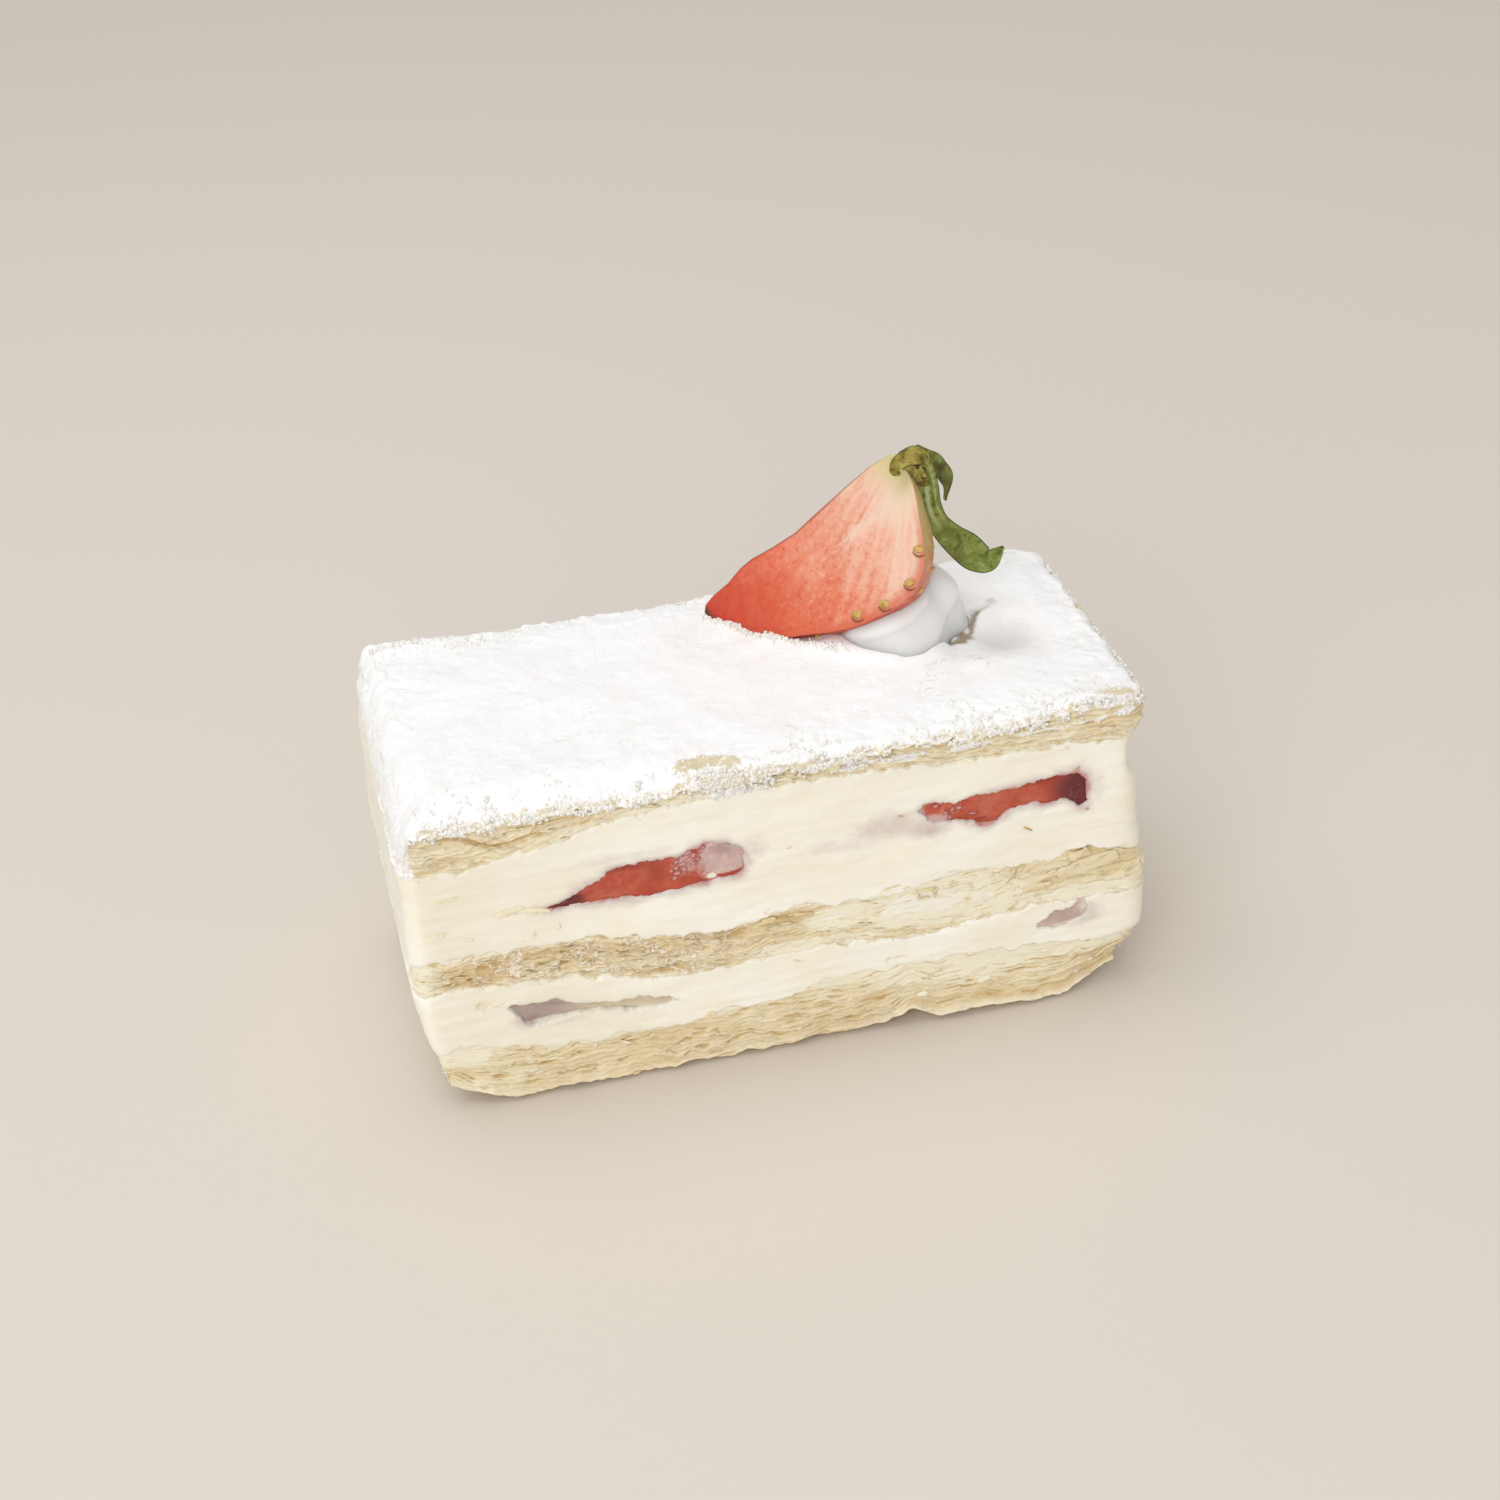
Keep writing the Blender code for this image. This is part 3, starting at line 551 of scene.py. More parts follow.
middlePastry = dict(
    rows=64, columns=1300, seed=31,
    smear=[(22, 23.0, 13, 3.0, 0.92), (-53, 23, 3.5, 6, 0.6), (4, 17.5, 12, 1.8, 0.85),
           (30, 18.2, 16, 1.8, 0.9), (46, 18.2, 8, 2.1, 0.95), (-30, 20.2, 9, 1.0, 0.5),
           (12, 24, 4, 2, 0.6), (34, 20.6, 4, 2.4, 0.7), (-14, 19.4, 8, 0.9, 0.45)],
    coated=[(9, 21.6, 7, 2.0, 1.35), (20, 21.2, 9, 3.4, 1.6), (31, 20.2, 5, 2.0, 1.4)],
    toasted=[(-36, 24.2, 16, 1.4, 0.8), (-22, 22.8, 12, 1.1, 0.6), (-1, 23.4, 5.0, 0.9, 1.0),
             (-45, 22.6, 5, 1.6, 1.0), (46, 22.5, 8, 3.0, 0.35)],
)


def middleShape(wall):
    values = middlePastry
    x, y, share = wall["x"], wall["y"], wall["share"]
    turned = facingX(x, y)
    steps = smoothStep((turned - 33) / 4)
    shredded = smoothStep((-2 - turned) / 8)
    out, shadedTone = leafRelief(x, y, leafHeight(wall, 33), values["seed"], 0.62 + 0.6 * steps,
            0.45 - 0.2 * steps, 0.3 + 0.3 * shredded, 0.1 + 0.04 * shredded, steps,
            0.3 + 0.7 * shredded * (1 - steps))
    smear = np.maximum(0.98 * leftEnd(wall), patches(wall, values["smear"]))
    smear = np.maximum(smear, 0.74 * nearRim(wall, 1.0) * (1 - 0.6 * steps))
    uneven = 1 + 0.3 * latticeNoise(x / 3, y / 3, share * 2, 36)
    smear = np.maximum(smear, patches(wall, values["coated"]) * uneven)
    toastAndShade = 0.1 + 0.35 * smoothStep(latticeNoise(x / 12, y / 12, share * 1.4, 35) + 0.3)
    toastAndShade = toastAndShade + patches(wall, values["toasted"])
    # a cavity, pressed in and painted darker and browner inside as shade
    cavity = patches(wall, [(-18, 18.2, 2.2, 0.6, 1.0)])
    look = dict(relief=shadedTone - 0.35 * cavity, toastAndShade=toastAndShade + 1.5 * cavity, smear=smear * (1 - cavity),
            sugar=0 * shadedTone, curly=(0.4 + 0.6 * shredded) * (1 - 0.8 * steps))
    return out * (1 - 0.7 * np.minimum(smear, 1)) - 0.15 - 0.9 * cavity, look


topPastry = dict(
    rows=62, columns=1150, seed=51,
    smear=[(-12, 45.6, 15, 1.1, 0.8), (20, 45.2, 14, 0.6, 0.4), (-30, 44.4, 12, 0.9, 0.5),
           (-48, 44.0, 8, 1.2, 0.5)],
    sugar=[(-6, 47.6, 7, 5, 0.9), (-20, 49.0, 6, 0.9, 0.5), (50, 49.8, 5, 2.0, 0.4),
           (-38, 47.6, 12, 0.5, 0.45)],
    bare=[(-47, 46, 9, 4, 0.5), (30, 48.6, 22, 0.9, 0.6), (4, 48.4, 5.5, 1.4, 0.7),
          (-27, 47.0, 14, 2.6, 0.7)],
    # a line of white grains between two tan leaves
    grains=[(6, 46.7), (16, 46.8), (30, 46.9), (42, 47.1), (52, 48.2)],
    crack=[(-50.5, 47.6), (-47.5, 46.4), (-44.6, 45.7), (-42.7, 44.7), (-40.8, 43.6), (-38.4, 43.8),
           (-35.9, 44.6), (-32.4, 44.4)],
    ledge=[(-42, 44.6), (-36, 46.2), (-30, 46.6), (-24, 47.6), (-18, 48.0)],
)


def topShape(wall):
    values = topPastry
    x, y, share = wall["x"], wall["y"], wall["share"]
    out, shadedTone = leafRelief(x, y, leafHeight(wall, 53), values["seed"], 0.7, 0.4, 0.35, 0.12, 0.0, 0.35)
    smear = np.maximum(patches(wall, values["smear"]), 0.66 * nearRim(wall, 0.9) * (share < 0.5))
    falls = roughNoise(x, y, wall["z"] * 2, 3, 4, 57)
    sugar = smoothStep((share - 0.72) / 0.5) + 0.4 * falls + 0.9 * leftEnd(wall)
    sugar = sugar + patches(wall, values["sugar"])
    turned = dict(wall, x=facingX(x, y), y=-1 + 0 * y)
    grains = nearLine(turned, values["grains"], np.maximum(0.5 + 0.3 * falls, 0.2))
    sugar = np.clip(sugar - patches(wall, values["bare"]) + 0.66 * grains, 0, 1)
    crack = np.maximum(nearLine(wall, values["crack"], 0.3), 0.5 * nearLine(wall, values["ledge"], 0.25))
    toastAndShade = 0.05 + 0.35 * smoothStep(latticeNoise(x / 9, y / 9, share * 2, 55) + 0.2) + 1.4 * crack
    toastAndShade = toastAndShade + patches(wall, [(4, 48.2, 5, 1.2, 0.6), (46, 47.9, 9, 0.8, 0.5)])
    out = out - 0.1 + 0.2 * sugar - 0.7 * crack
    look = dict(relief=np.clip(shadedTone + 0.08 - 0.45 * crack, 0, 1), toastAndShade=toastAndShade, smear=smear,
            sugar=sugar * (1 - crack), curly=0.5 + 0 * shadedTone)
    return out, look


# a sheet of pastry's wall with its ends closed
def makeSheet(name, shape, wall, node, material, sink=0.0):
    out, look = shape(wall)
    # painted shade: the undersides of the leaves are drawn darker, browner and less coated
    under = np.clip(np.gradient(out, axis=0) / 0.12, 0, 1)
    look["relief"] = look["relief"] - 0.35 * under
    look["toastAndShade"] = look["toastAndShade"] + 0.4 * under
    look["smear"] = look["smear"] * (1 - 0.4 * under)
    addTube(name, closedLayer(wall, out, sink), material, [node],
            {key: closedValues(v) for key, v in look.items()})


# where the top sheet's wall ends under the sugar: lower at the left, where the sugar falls over it
def crustSeat(normalX):
    return -1.25 - 3.85 * np.maximum(0, -normalX) ** 2


# icing sugar on top

sugarCrust = dict(
    columns=1000, rows=74, skirt=14, lumps=0.32, shoulder=1.1, leftShoulder=2.4, white=(252, 252, 252),
    shade=(249, 248, 247), pastry=(223, 210, 178), crackTone=(166, 152, 132), grey=(226, 223, 220),
    mark=(212, 208, 200), ivory=(240, 235, 219),
    # bare spots on top, as x, y, half width, half depth, strength
    bare=[(-10.6, -22.8, 4.2, 2.2, 1.0), (-6.5, -24.2, 2.4, 1.4, 0.8), (26, -25.0, 16, 0.5, 0.5),
          (50, -24.0, 3.8, 1.6, 0.75), (53, 2, 1.2, 9, 0.5), (-51.6, 4, 0.7, 3, 0.45),
          (-51, -8, 0.7, 4, 0.45), (-50.8, -18, 0.8, 2, 0.45)],
    # places on top with faint grey marks, as x, y, half width, half depth, strength
    marks=[(30, -12, 16, 7, 0.8), (8, -18, 12, 5, 0.7), (44, -14, 10, 8, 0.8), (-20, -10, 14, 8, 0.5),
           (-42, -16, 8, 7, 0.6), (-30, -21, 14, 4, 0.8), (34, -21, 18, 4, 0.9), (20, 18, 20, 5, 0.6)],
    crack=[(32.0, -2.2), (34.2, -1.2), (35.6, 0.6), (37.6, 3.4), (38.9, 6.4), (42.2, 7.6)],
    hollow=(41.5, -2.5, 7, 6.0, -2.0), bank=(47, 12, 6, 7, 1.0), ridge=(33, -9.5, 9, 3.0, 0.6),
    # sugar heaped against the berry's lower edge
    heaps=[(2.0, 13.2, 3.0, 2.6, 0.7), (7.0, 6.6, 4.0, 2.6, 1.0), (12.0, 2.6, 4.0, 2.4, 0.9)],
    # how far the sugar hangs down the front, as x, half width, depth in mm
    falls=[(-6, 6.0, 3.0), (46, 5, 0.5)],
)


# a low hill, or a hollow: a bell along x times a bell along y
def mound(x, y, shape):
    atX, atY, halfX, halfY, height = shape
    return height * np.exp(-((x - atX) / halfX) ** 2 - ((y - atY) / halfY) ** 2)


# distance in mm from places on the top to the crack beside the swirl
def crackDistance(x, y):
    return lineDistance(x, y, sugarCrust["crack"])


# the dusted top's height: level under the swirl and lumpy elsewhere, with a hollow, a bank and a crack
def crustHeight(x, y):
    height = surfaceHeight("crust", x, y)
    height = height + sugarCrust["lumps"] * roughNoise(x, y, 0, 10, 4, 61)
    for key in ("hollow", "bank", "ridge"):
        height = height + mound(x, y, sugarCrust[key])
    for heap in sugarCrust["heaps"]:
        height = height + mound(x, y, heap)
    turn = np.arctan2(y - swirlPlan["y"], x - swirlPlan["x"])
    fromSwirl = np.hypot(x - swirlPlan["x"], y - swirlPlan["y"]) - swirlFoot(turn)
    level = smoothStep((fromSwirl + 2.0) / 2.5)
    foot = 1.2 * bell((fromSwirl - 0.8) / 2.2) * (1 - smoothStep((x - 29) / 4)) * (y < 10)
    split = 0.5 * bell(crackDistance(x + 0.5 * latticeNoise(x / 1.5, y / 1.5, 0, 64), y) / 0.7)
    return height * level + slicePlan["crust"] * (1 - level) + foot - split * level


def sugarMaterial():
    look = sugarCrust
    finish = Finish("icing sugar", 0.9, 0.15)
    fine = finish.noise(2300, 4, 0.7)
    grainy = finish.noise(900, 4, 0.65, (1, 1, 1), 0.8)
    powder = finish.mix(finish.noise(120, 4, 0.6).span(0.3, 0.6), look["shade"], look["white"])
    short = finish.noise(210, 3, 0.6).span(0.52, 0.62) * finish.attribute("mark")
    powder = finish.mix(finish.squiggles(300, 0.03, 1.5) * short, powder, look["mark"])
    powder = finish.mix(finish.attribute("ivory").ragged(grainy, 0.6).span(0.2, 0.9), powder, look["ivory"])
    bare = finish.attribute("bare").ragged(fine, 0.9).ragged(grainy, 0.9)
    powder = finish.mix(bare.span(0.48, 0.66), powder, look["pastry"])
    # grey round the crack and over the hollow beside the swirl is painted shade; where the crack opens it
    # takes the crack colour
    crack = finish.attribute("crack")
    powder = finish.mix(crack.span(0.0, 0.5), powder, look["grey"])
    opened = crack.ragged(fine, 0.5).ragged(grainy, 0.3)
    finish.colour(finish.mix(opened.span(0.4, 0.95), powder, look["crackTone"]))
    finish.bump(fine + grainy * 1.4, 0.45, 0.0004)
    finish.glow(0.05, (1.0, 1.0, 1.0), 0.0006)
    return finish.material


# how far the sugar hangs down the side at a place on the rim, uneven at two sizes
def skirtDepth(x, y, leftness):
    depth = 0.4 + 0.5 * roughNoise(x, y, 0, 4, 3, 67) + 0.6 * roughNoise(x, y, 0, 0.9, 2, 70)
    depth = depth + 7.5 * leftness
    for atX, halfWidth, extra in sugarCrust["falls"]:
        depth = depth + extra * bell((facingX(x, y) - atX) / halfWidth)
    return np.maximum(depth, 0.6)


# rings run up the skirt, over a round shoulder, and in to the line along the slice's middle, where both
# sides are joined. The shoulder falls as a quarter circle.
def makeSugarCrust(material):
    values = sugarCrust
    columns = values["columns"]
    x0, y0, normalX, normalY = (a[None, :] for a in outlineRing(columns))
    leftness = np.maximum(0, -normalX) ** 2
    radius = values["shoulder"] + (values["leftShoulder"] - values["shoulder"]) * leftness
    radius = radius * (1 + 0.35 * latticeNoise(x0 / 5, y0 / 5, 0 * x0, 66))
    share = np.linspace(0, 0.988, values["rows"])[:, None] ** 1.25
    middle = np.clip(x0, -28.3, 28.3)
    x, y = x0 + (middle - x0) * share, y0 * (1 - share)
    inside = share * slicePlan["halfDepth"]
    drop = radius * (1 - np.sqrt(1 - np.clip(1 - inside / radius, 0, 1) ** 2))
    z = crustHeight(x, y) - drop
    grains = roughNoise(x, y, 0, 1.5, 3, 63)
    nearCut = np.exp(-inside / 4) * smoothStep(latticeNoise(x / 8, y / 8, 0, 65) + 0.8)
    z = z + grains * (0.05 + 0.3 * nearCut)
    reach = endReach(normalX, z) * np.exp(-inside / 4)
    edge = 0.42 * roughNoise(x, y, 0, 3.0, 4, 62) * np.exp(-inside / 1.2) + 0.1 * np.exp(-inside)
    top = np.stack((x + normalX * (reach + edge), y + normalY * edge, z), -1)

    rim = z[:1]
    depth = skirtDepth(x0, y0, leftness)
    down = np.linspace(1, 0, values["skirt"])[:, None]
    skirtZ = rim - 0.12 - down * depth
    grain = 0.28 * roughNoise(x0, y0, skirtZ, 1.2, 2, 69)
    taper = 1.4 * down ** (5 - 2.5 * leftness)
    out = endReach(normalX, skirtZ) + 0.3 + 0.25 * np.sin(down * math.pi) + grain * (1 - down ** 4) - taper
    skirt = np.stack((x0 + normalX * out, y0 + normalY * (out - endReach(normalX, skirtZ)), skirtZ), -1)

    rows = values["skirt"] + values["rows"]
    points = np.concatenate((skirt.reshape(-1, 3), top.reshape(-1, 3), [[0, 0, slicePlan["crust"] - 4]]))
    around = np.arange(columns)
    floor = np.stack((np.roll(around, -1), around, np.full(columns, len(points) - 1)), -1)
    last = (rows - 1) * columns
    k = np.arange(columns // 2 - 1)
    seam = last + np.stack((k, k + 1, columns - 2 - k, columns - 1 - k), -1)
    faces = gridFaces(rows, columns).tolist() + floor.tolist() + seam.tolist()
    bare = np.maximum(softSpots(x, y, values["bare"]), 0.56 * np.exp(-inside / 1.3) * (1 - leftness))
    wander = crackDistance(x + 0.9 * latticeNoise(x / 1.5, y / 1.5, 0, 64),
            y + 0.5 * latticeNoise(x / 1.1, y / 1.1, 0, 60))
    split = bell(wander / 0.75) * smoothStep(latticeNoise(x / 2.5, y / 2.5, 0, 68) + 1.0)
    split = np.maximum(split, mound(x, y, (35.6, -0.2, 1.2, 1.2, 1.0)))
    # a broad patch of painted shade over the hollow beside the swirl
    split = np.maximum(split, 0.45 * mound(x, y, (41.0, -1.5, 5.5, 4.5, 1.0)))
    marks = 0 * x
    for spot in values["marks"]:
        marks = np.maximum(marks, mound(x, y, spot))
    skirtBare = np.clip(bare[:1] + 0.1 * down * (1 - leftness), 0, 1)
    skirtIvory = leftness * smoothStep((down - 0.2) / 0.7)
    # values on the skirt's rows, the top's rows and the point that closes it below
    looks = {"bare": (skirtBare, bare), "crack": (0 * skirtBare, split), "mark": (0 * skirtBare, marks),
            "ivory": (skirtIvory, 0 * x)}
    values = {key: np.concatenate((low.ravel(), high.ravel(), [0])) for key, (low, high) in looks.items()}
    addPiece("sugar_crust", points, faces, material, ["top_pastry"], values)


# cream

creamLook = dict(
    body=(250, 247, 235), warm=(246, 240, 221), stain=(214, 200, 194), deep=(202, 140, 130),
    tintAndShade=(231, 222, 196), pastry=(226, 211, 174), roughness=0.42,
)


def creamMaterial():
    look = creamLook
    finish = Finish("custard cream", look["roughness"], 0.4)
    cloudy = finish.noise(55, 4, 0.6, (1, 1, 2))
    fine = finish.noise(420, 5, 0.65, (1, 1, 2), 1.0)
    body = finish.mix(cloudy.span(0.35, 0.7), look["body"], look["warm"])
    # the cream's own tone and painted shade: darker and yellower at the left, at the right end and near the
    # top
    tintAndShade = finish.attribute("tintAndShade").ragged(finish.noise(90, 4, 0.6), 0.6)
    body = finish.mix(tintAndShade.span(0.0, 1.2), body, look["tintAndShade"])
    stain = finish.attribute("stain").ragged(fine, 0.4).ragged(finish.noise(170, 4, 0.65), 0.9)
    stained = finish.mix(stain.span(0.1, 0.9), body, look["stain"])
    stained = finish.mix(stain.span(0.7, 1.1), stained, look["deep"])
    crumbs = finish.attribute("crumb").ragged(fine, 1.5)
    finish.colour(finish.mix(crumbs.span(0.5, 0.68), stained, look["pastry"]))
    finish.bump(cloudy + fine * 0.5, 0.2, 0.0006)
    finish.glow(0.2, (1.0, 0.8, 0.5), 0.0014)
    return finish.material


# the cut berries in the front: the outline as x and z, how far it reaches back, how deep its face is sunk,
# how far the cream laps over it, and how strongly it stains the cream
berryCuts = dict(
    front_left=dict(
        outline=[(-34.2, 32.0), (-31.6, 33.6), (-28.2, 35.2), (-24.4, 37.0), (-19.8, 37.5), (-15.6, 37.3),
                 (-12.0, 38.4), (-8.6, 38.5), (-5.9, 36.6), (-5.0, 34.2), (-6.6, 31.9), (-10.5, 31.6),
                 (-17.0, 31.2), (-24.5, 31.6), (-30.0, 31.8)],
        reach=13.5, sunk=0.3, lip=0.3, bleed=0.75,
    ),
    front_right=dict(
        outline=[(19.8, 37.5), (22.4, 38.6), (25.6, 37.9), (28.6, 38.7), (34.0, 38.8), (39.5, 39.3),
                 (43.6, 39.2), (45.3, 38.2), (45.7, 35.4), (45.4, 32.8), (42.6, 34.2), (38.4, 34.9),
                 (34.6, 34.6), (31.6, 33.1), (28.6, 33.4), (25.6, 34.7), (22.0, 34.9)],
        reach=14.5, sunk=0.3, lip=0.3, bleed=0.75,
    ),
    low_left=dict(
        outline=[(-41.2, 16.8), (-38.4, 16.9), (-34.4, 16.5), (-30.4, 15.1), (-26.4, 14.2), (-23.6, 14.5),
                 (-22.2, 14.8), (-20.4, 13.8), (-16.4, 12.2), (-20.0, 12.0), (-24.6, 12.6), (-30.0, 13.5),
                 (-34.0, 13.5), (-37.4, 12.7), (-39.2, 13.4), (-40.2, 15.2)],
        reach=11.0, sunk=0.55, lip=0.0, bleed=0.3,
    ),
    low_right=dict(
        outline=[(38.0, 13.2), (40.2, 15.0), (42.6, 15.5), (44.6, 17.0), (45.8, 16.4), (45.6, 14.6),
                 (43.8, 13.2), (41.0, 12.7)],
        reach=9.0, sunk=0.4, lip=0.0, bleed=0.3,
    ),
)
backCuts = dict(
    back_left=dict(copy="front_left", shift=(5.4, 0.0)),
    back_right=dict(copy="front_right", shift=(5.6, -0.6), reach=14.0),
    back_low=dict(copy="low_left", shift=(-21.6, -0.3), bleed=0.12),
)


# each cut's outline in its own place, with a ragged edge: the back repeats the front's turned end for end
def placeCuts():
    placed = {}
    for name, cut in berryCuts.items():
        placed[name] = dict(cut, side=-1, outline=raggedOutline(cut["outline"], 90))
    for name, own in backCuts.items():
        cut = dict(berryCuts[own["copy"]], **own)
        outline = raggedOutline(cut["outline"], 95)
        turned = np.stack((-outline[:, 0] + cut["shift"][0], outline[:, 1] + cut["shift"][1]), -1)[::-1]
        placed[name] = dict(cut, side=1, outline=turned)
    return placed


# a cut's outline made round, with each point moved by noise in x and z
def raggedOutline(outline, seed):
    points = roundOutline(outline, 200)
    x, z = points[:, 0], points[:, 1]
    return points + 0.22 * np.stack((latticeNoise(x / 0.9, z / 0.9, 0, seed),
            latticeNoise(x / 0.8, z / 0.9, 0, seed + 1)), -1)


# pockets in a wall for its berries, whose ragged lips lap over them, and the stain round them
def berryPockets(wall, cuts, names):
    pocket, stain = np.zeros(wall["x"].shape), np.zeros(wall["x"].shape)
    x, z = wall["x"], wall["z"]
    wobble = 0.3 * latticeNoise(x / 1.5, z / 1.1, 0, 71) + 0.18 * latticeNoise(x / 0.6, z / 0.5, 0, 72)
    for name in names:
        cut = cuts[name]
        onSide = wall["y"] * cut["side"] > 20
        inside = outlineDistance(x, z, cut["outline"][::4])
        hole = smoothStep((inside - cut["lip"] + wobble) / 0.6) * (cut["reach"] - 1.0)
        pocket = np.maximum(pocket, np.where(onSide, hole, 0))
        fading = np.exp(-np.maximum(-inside, 0))
        bleed = cut["bleed"] * (1 + 0.4 * latticeNoise(x / 3, z / 2, 0, 73)) * fading
        stain = np.maximum(stain, np.where(onSide, bleed, 0))
    return pocket, stain


upperCream = dict(
    rows=88, columns=1040, seed=41,
    names=["front_left", "front_right", "back_left", "back_right"],
    stains=[(16.4, 35.8, 7.0, 3.0, 0.6), (8.0, 34.0, 7, 1.8, 0.36), (21.0, 34.4, 5.0, 2.0, 0.7),
            (-4.0, 36.2, 2.6, 2.8, 0.45), (-35.6, 32.4, 3.0, 1.3, 0.5), (47.2, 36.0, 1.6, 3.4, 0.4),
            (-22, 38.4, 10, 1.2, 0.45), (-7, 31.0, 6, 1.0, 0.3)],
    crumbs=[(-51, 41, 3, 1.2, 0.5), (-2, 24.8, 5, 0.9, 0.5), (28, 26, 9, 1.0, 0.45),
            (18, 24.8, 7, 1.2, 0.5), (-40, 32.4, 4, 0.6, 0.5), (-34, 27.6, 8, 0.9, 0.4),
            (-50, 26.6, 4, 1.0, 0.45), (46, 43.6, 5, 0.7, 0.5)],
)
lowerCream = dict(
    rows=50, columns=1040, seed=21, names=["low_left", "low_right", "back_low"],
    stains=[(45.6, 14.6, 3.6, 2.4, 0.62), (42.6, 12.8, 4.0, 1.2, 0.5), (-39.0, 13.8, 2.6, 1.8, 0.7),
            (-34, 12.8, 5, 0.8, 0.4)],
    crumbs=[(-44, 17.6, 6, 1.8, 0.5), (20, 12.5, 12, 1.0, 0.45), (38, 17, 6, 1.2, 0.5),
            (-49, 11, 4, 1.5, 0.45), (2, 15.4, 8, 1.0, 0.4)],
)


# spread cream: broad soft swells and faint level smears, with an uneven edge that laps onto the pastry
def makeCream(name, values, lowKey, highKey, node, cuts, material):
    wall = wallGrid(lowKey, highKey, values["rows"], values["columns"])
    x, y, share = wall["x"], wall["y"], wall["share"]
    seed = values["seed"]
    rimX, rimY = x[:1], y[:1]
    lapLow, lapHigh = (0.5 * roughNoise(rimX, rimY, 0, 9, 3, seed + k)
            + 0.4 * roughNoise(rimX, rimY, 0, 1.7, 3, seed + k + 1) + 0.15 for k in (1, 5))
    wall["z"] = wall["low"] - lapLow + (wall["high"] - wall["low"] + lapLow + lapHigh) * share
    z = wall["z"]
    swell = 0.2 * latticeNoise(x / 13, y / 13, z / 7, seed)
    swell = swell + 0.08 * roughNoise(x, y, z * 2.5, 5, 3, seed + 2)
    smears = 0.07 * latticeNoise(x / 6, y / 6, z / 0.9, seed + 3)
    edge = np.minimum(share, 1 - share) * (wall["high"] - wall["low"])
    rounded = -0.6 * (1 - smoothStep(edge / (0.7 + 0.4 * latticeNoise(x / 2, y / 2, share * 3, seed + 6))))
    pocket, stain = berryPockets(wall, cuts, values["names"])
    stain = np.maximum(stain, patches(wall, values["stains"]))
    crumb = np.maximum(0.74 * np.exp(-edge / 1.1), patches(wall, values["crumbs"]))
    crumb = crumb * (1 - 0.8 * leftEnd(wall))
    turned = facingX(x, y)
    # painted shade and the cream's own tone: darker and yellower at the left, at the right end and near the
    # top
    tintAndShade = 0.5 * smoothStep((-14 - turned) / 26) + 0.4 * smoothStep((turned - 46) / 7)
    tintAndShade = (tintAndShade + 0.2 * smoothStep((z - 40) / 4)) * (1 - 0.9 * leftEnd(wall))
    grid = closedLayer(wall, 0.15 + swell + smears + rounded - pocket)
    looks = {"stain": stain, "crumb": crumb, "tintAndShade": tintAndShade}
    addTube(name, grid, material, [node],
            {key: closedValues(array) for key, array in looks.items()})


# strawberries in the cream

fleshLook = dict(
    red=(166, 48, 34), orange=(186, 76, 52), pale=(206, 116, 90), dark=(104, 30, 34), smear=(203, 170, 164),
    haze=(226, 208, 202), grey=(176, 156, 150), beige=(217, 201, 172), line=(232, 194, 184),
    cream=(246, 241, 224), shadow=(112, 92, 92), strokeShade=(158, 66, 62), roughness=0.25,
)


def fleshMaterial():
    look = fleshLook
    finish = Finish("cut strawberry", look["roughness"], 0.5)
    blotch = finish.noise(170, 5, 0.65)
    grainy = finish.noise(1000, 4, 0.7, (1, 1, 1), 0.6)
    flesh = blotch.ramp((0.3, look["red"]), (0.48, look["orange"]), (0.74, look["pale"]))
    flesh = finish.mix(grainy.span(0.52, 0.75) * 0.45, flesh, look["pale"])
    dark = finish.attribute("dark").ragged(grainy, 0.4).ragged(blotch, 0.5)
    flesh = finish.mix(dark.span(0.1, 0.9), flesh, look["dark"])
    veil = finish.attribute("veil").ragged(blotch, 0.7).ragged(grainy, 0.6)
    cover = finish.mix(finish.noise(260, 4, 0.6, (1, 1, 1), 1.0).span(0.4, 0.66), look["smear"],
            look["haze"])
    flesh = finish.mix(veil.span(0.25, 0.8), flesh, cover)
    lines = finish.squiggles(520, 0.03) * finish.attribute("gleam").span(0.25, 0.9)
    flesh = finish.mix(lines * 0.5, flesh, look["line"])
    strokes = finish.attribute("stroke")
    # round each stroke a dark rim is painted as its shade, and its pale top is the curl's pale colour with a
    # painted highlight
    flesh = finish.mix(strokes.span(0.1, 0.5) * 0.75, flesh, look["strokeShade"])
    flesh = finish.mix(strokes.span(0.45, 1.0) * 0.6, flesh, look["line"])
    # inside the low gaps: grey where the berry shows through cream, beige where cream lines the recess, both
    # darker than open cream as painted shade
    hollow = finish.mix(finish.attribute("beige").ragged(blotch, 0.4), look["grey"], look["beige"])
    flesh = finish.mix(finish.attribute("gap"), flesh, hollow)
    flesh = finish.mix(finish.attribute("shadow"), flesh, look["shadow"])
    fade = finish.attribute("fade").ragged(grainy, 0.35)
    finish.colour(finish.mix(fade.span(0.15, 0.95), flesh, look["cream"]))
    finish.bump(grainy + blotch, 0.35, 0.0004)
    finish.glow(0.2, (1.0, 0.25, 0.12), 0.0012)
    return finish.material


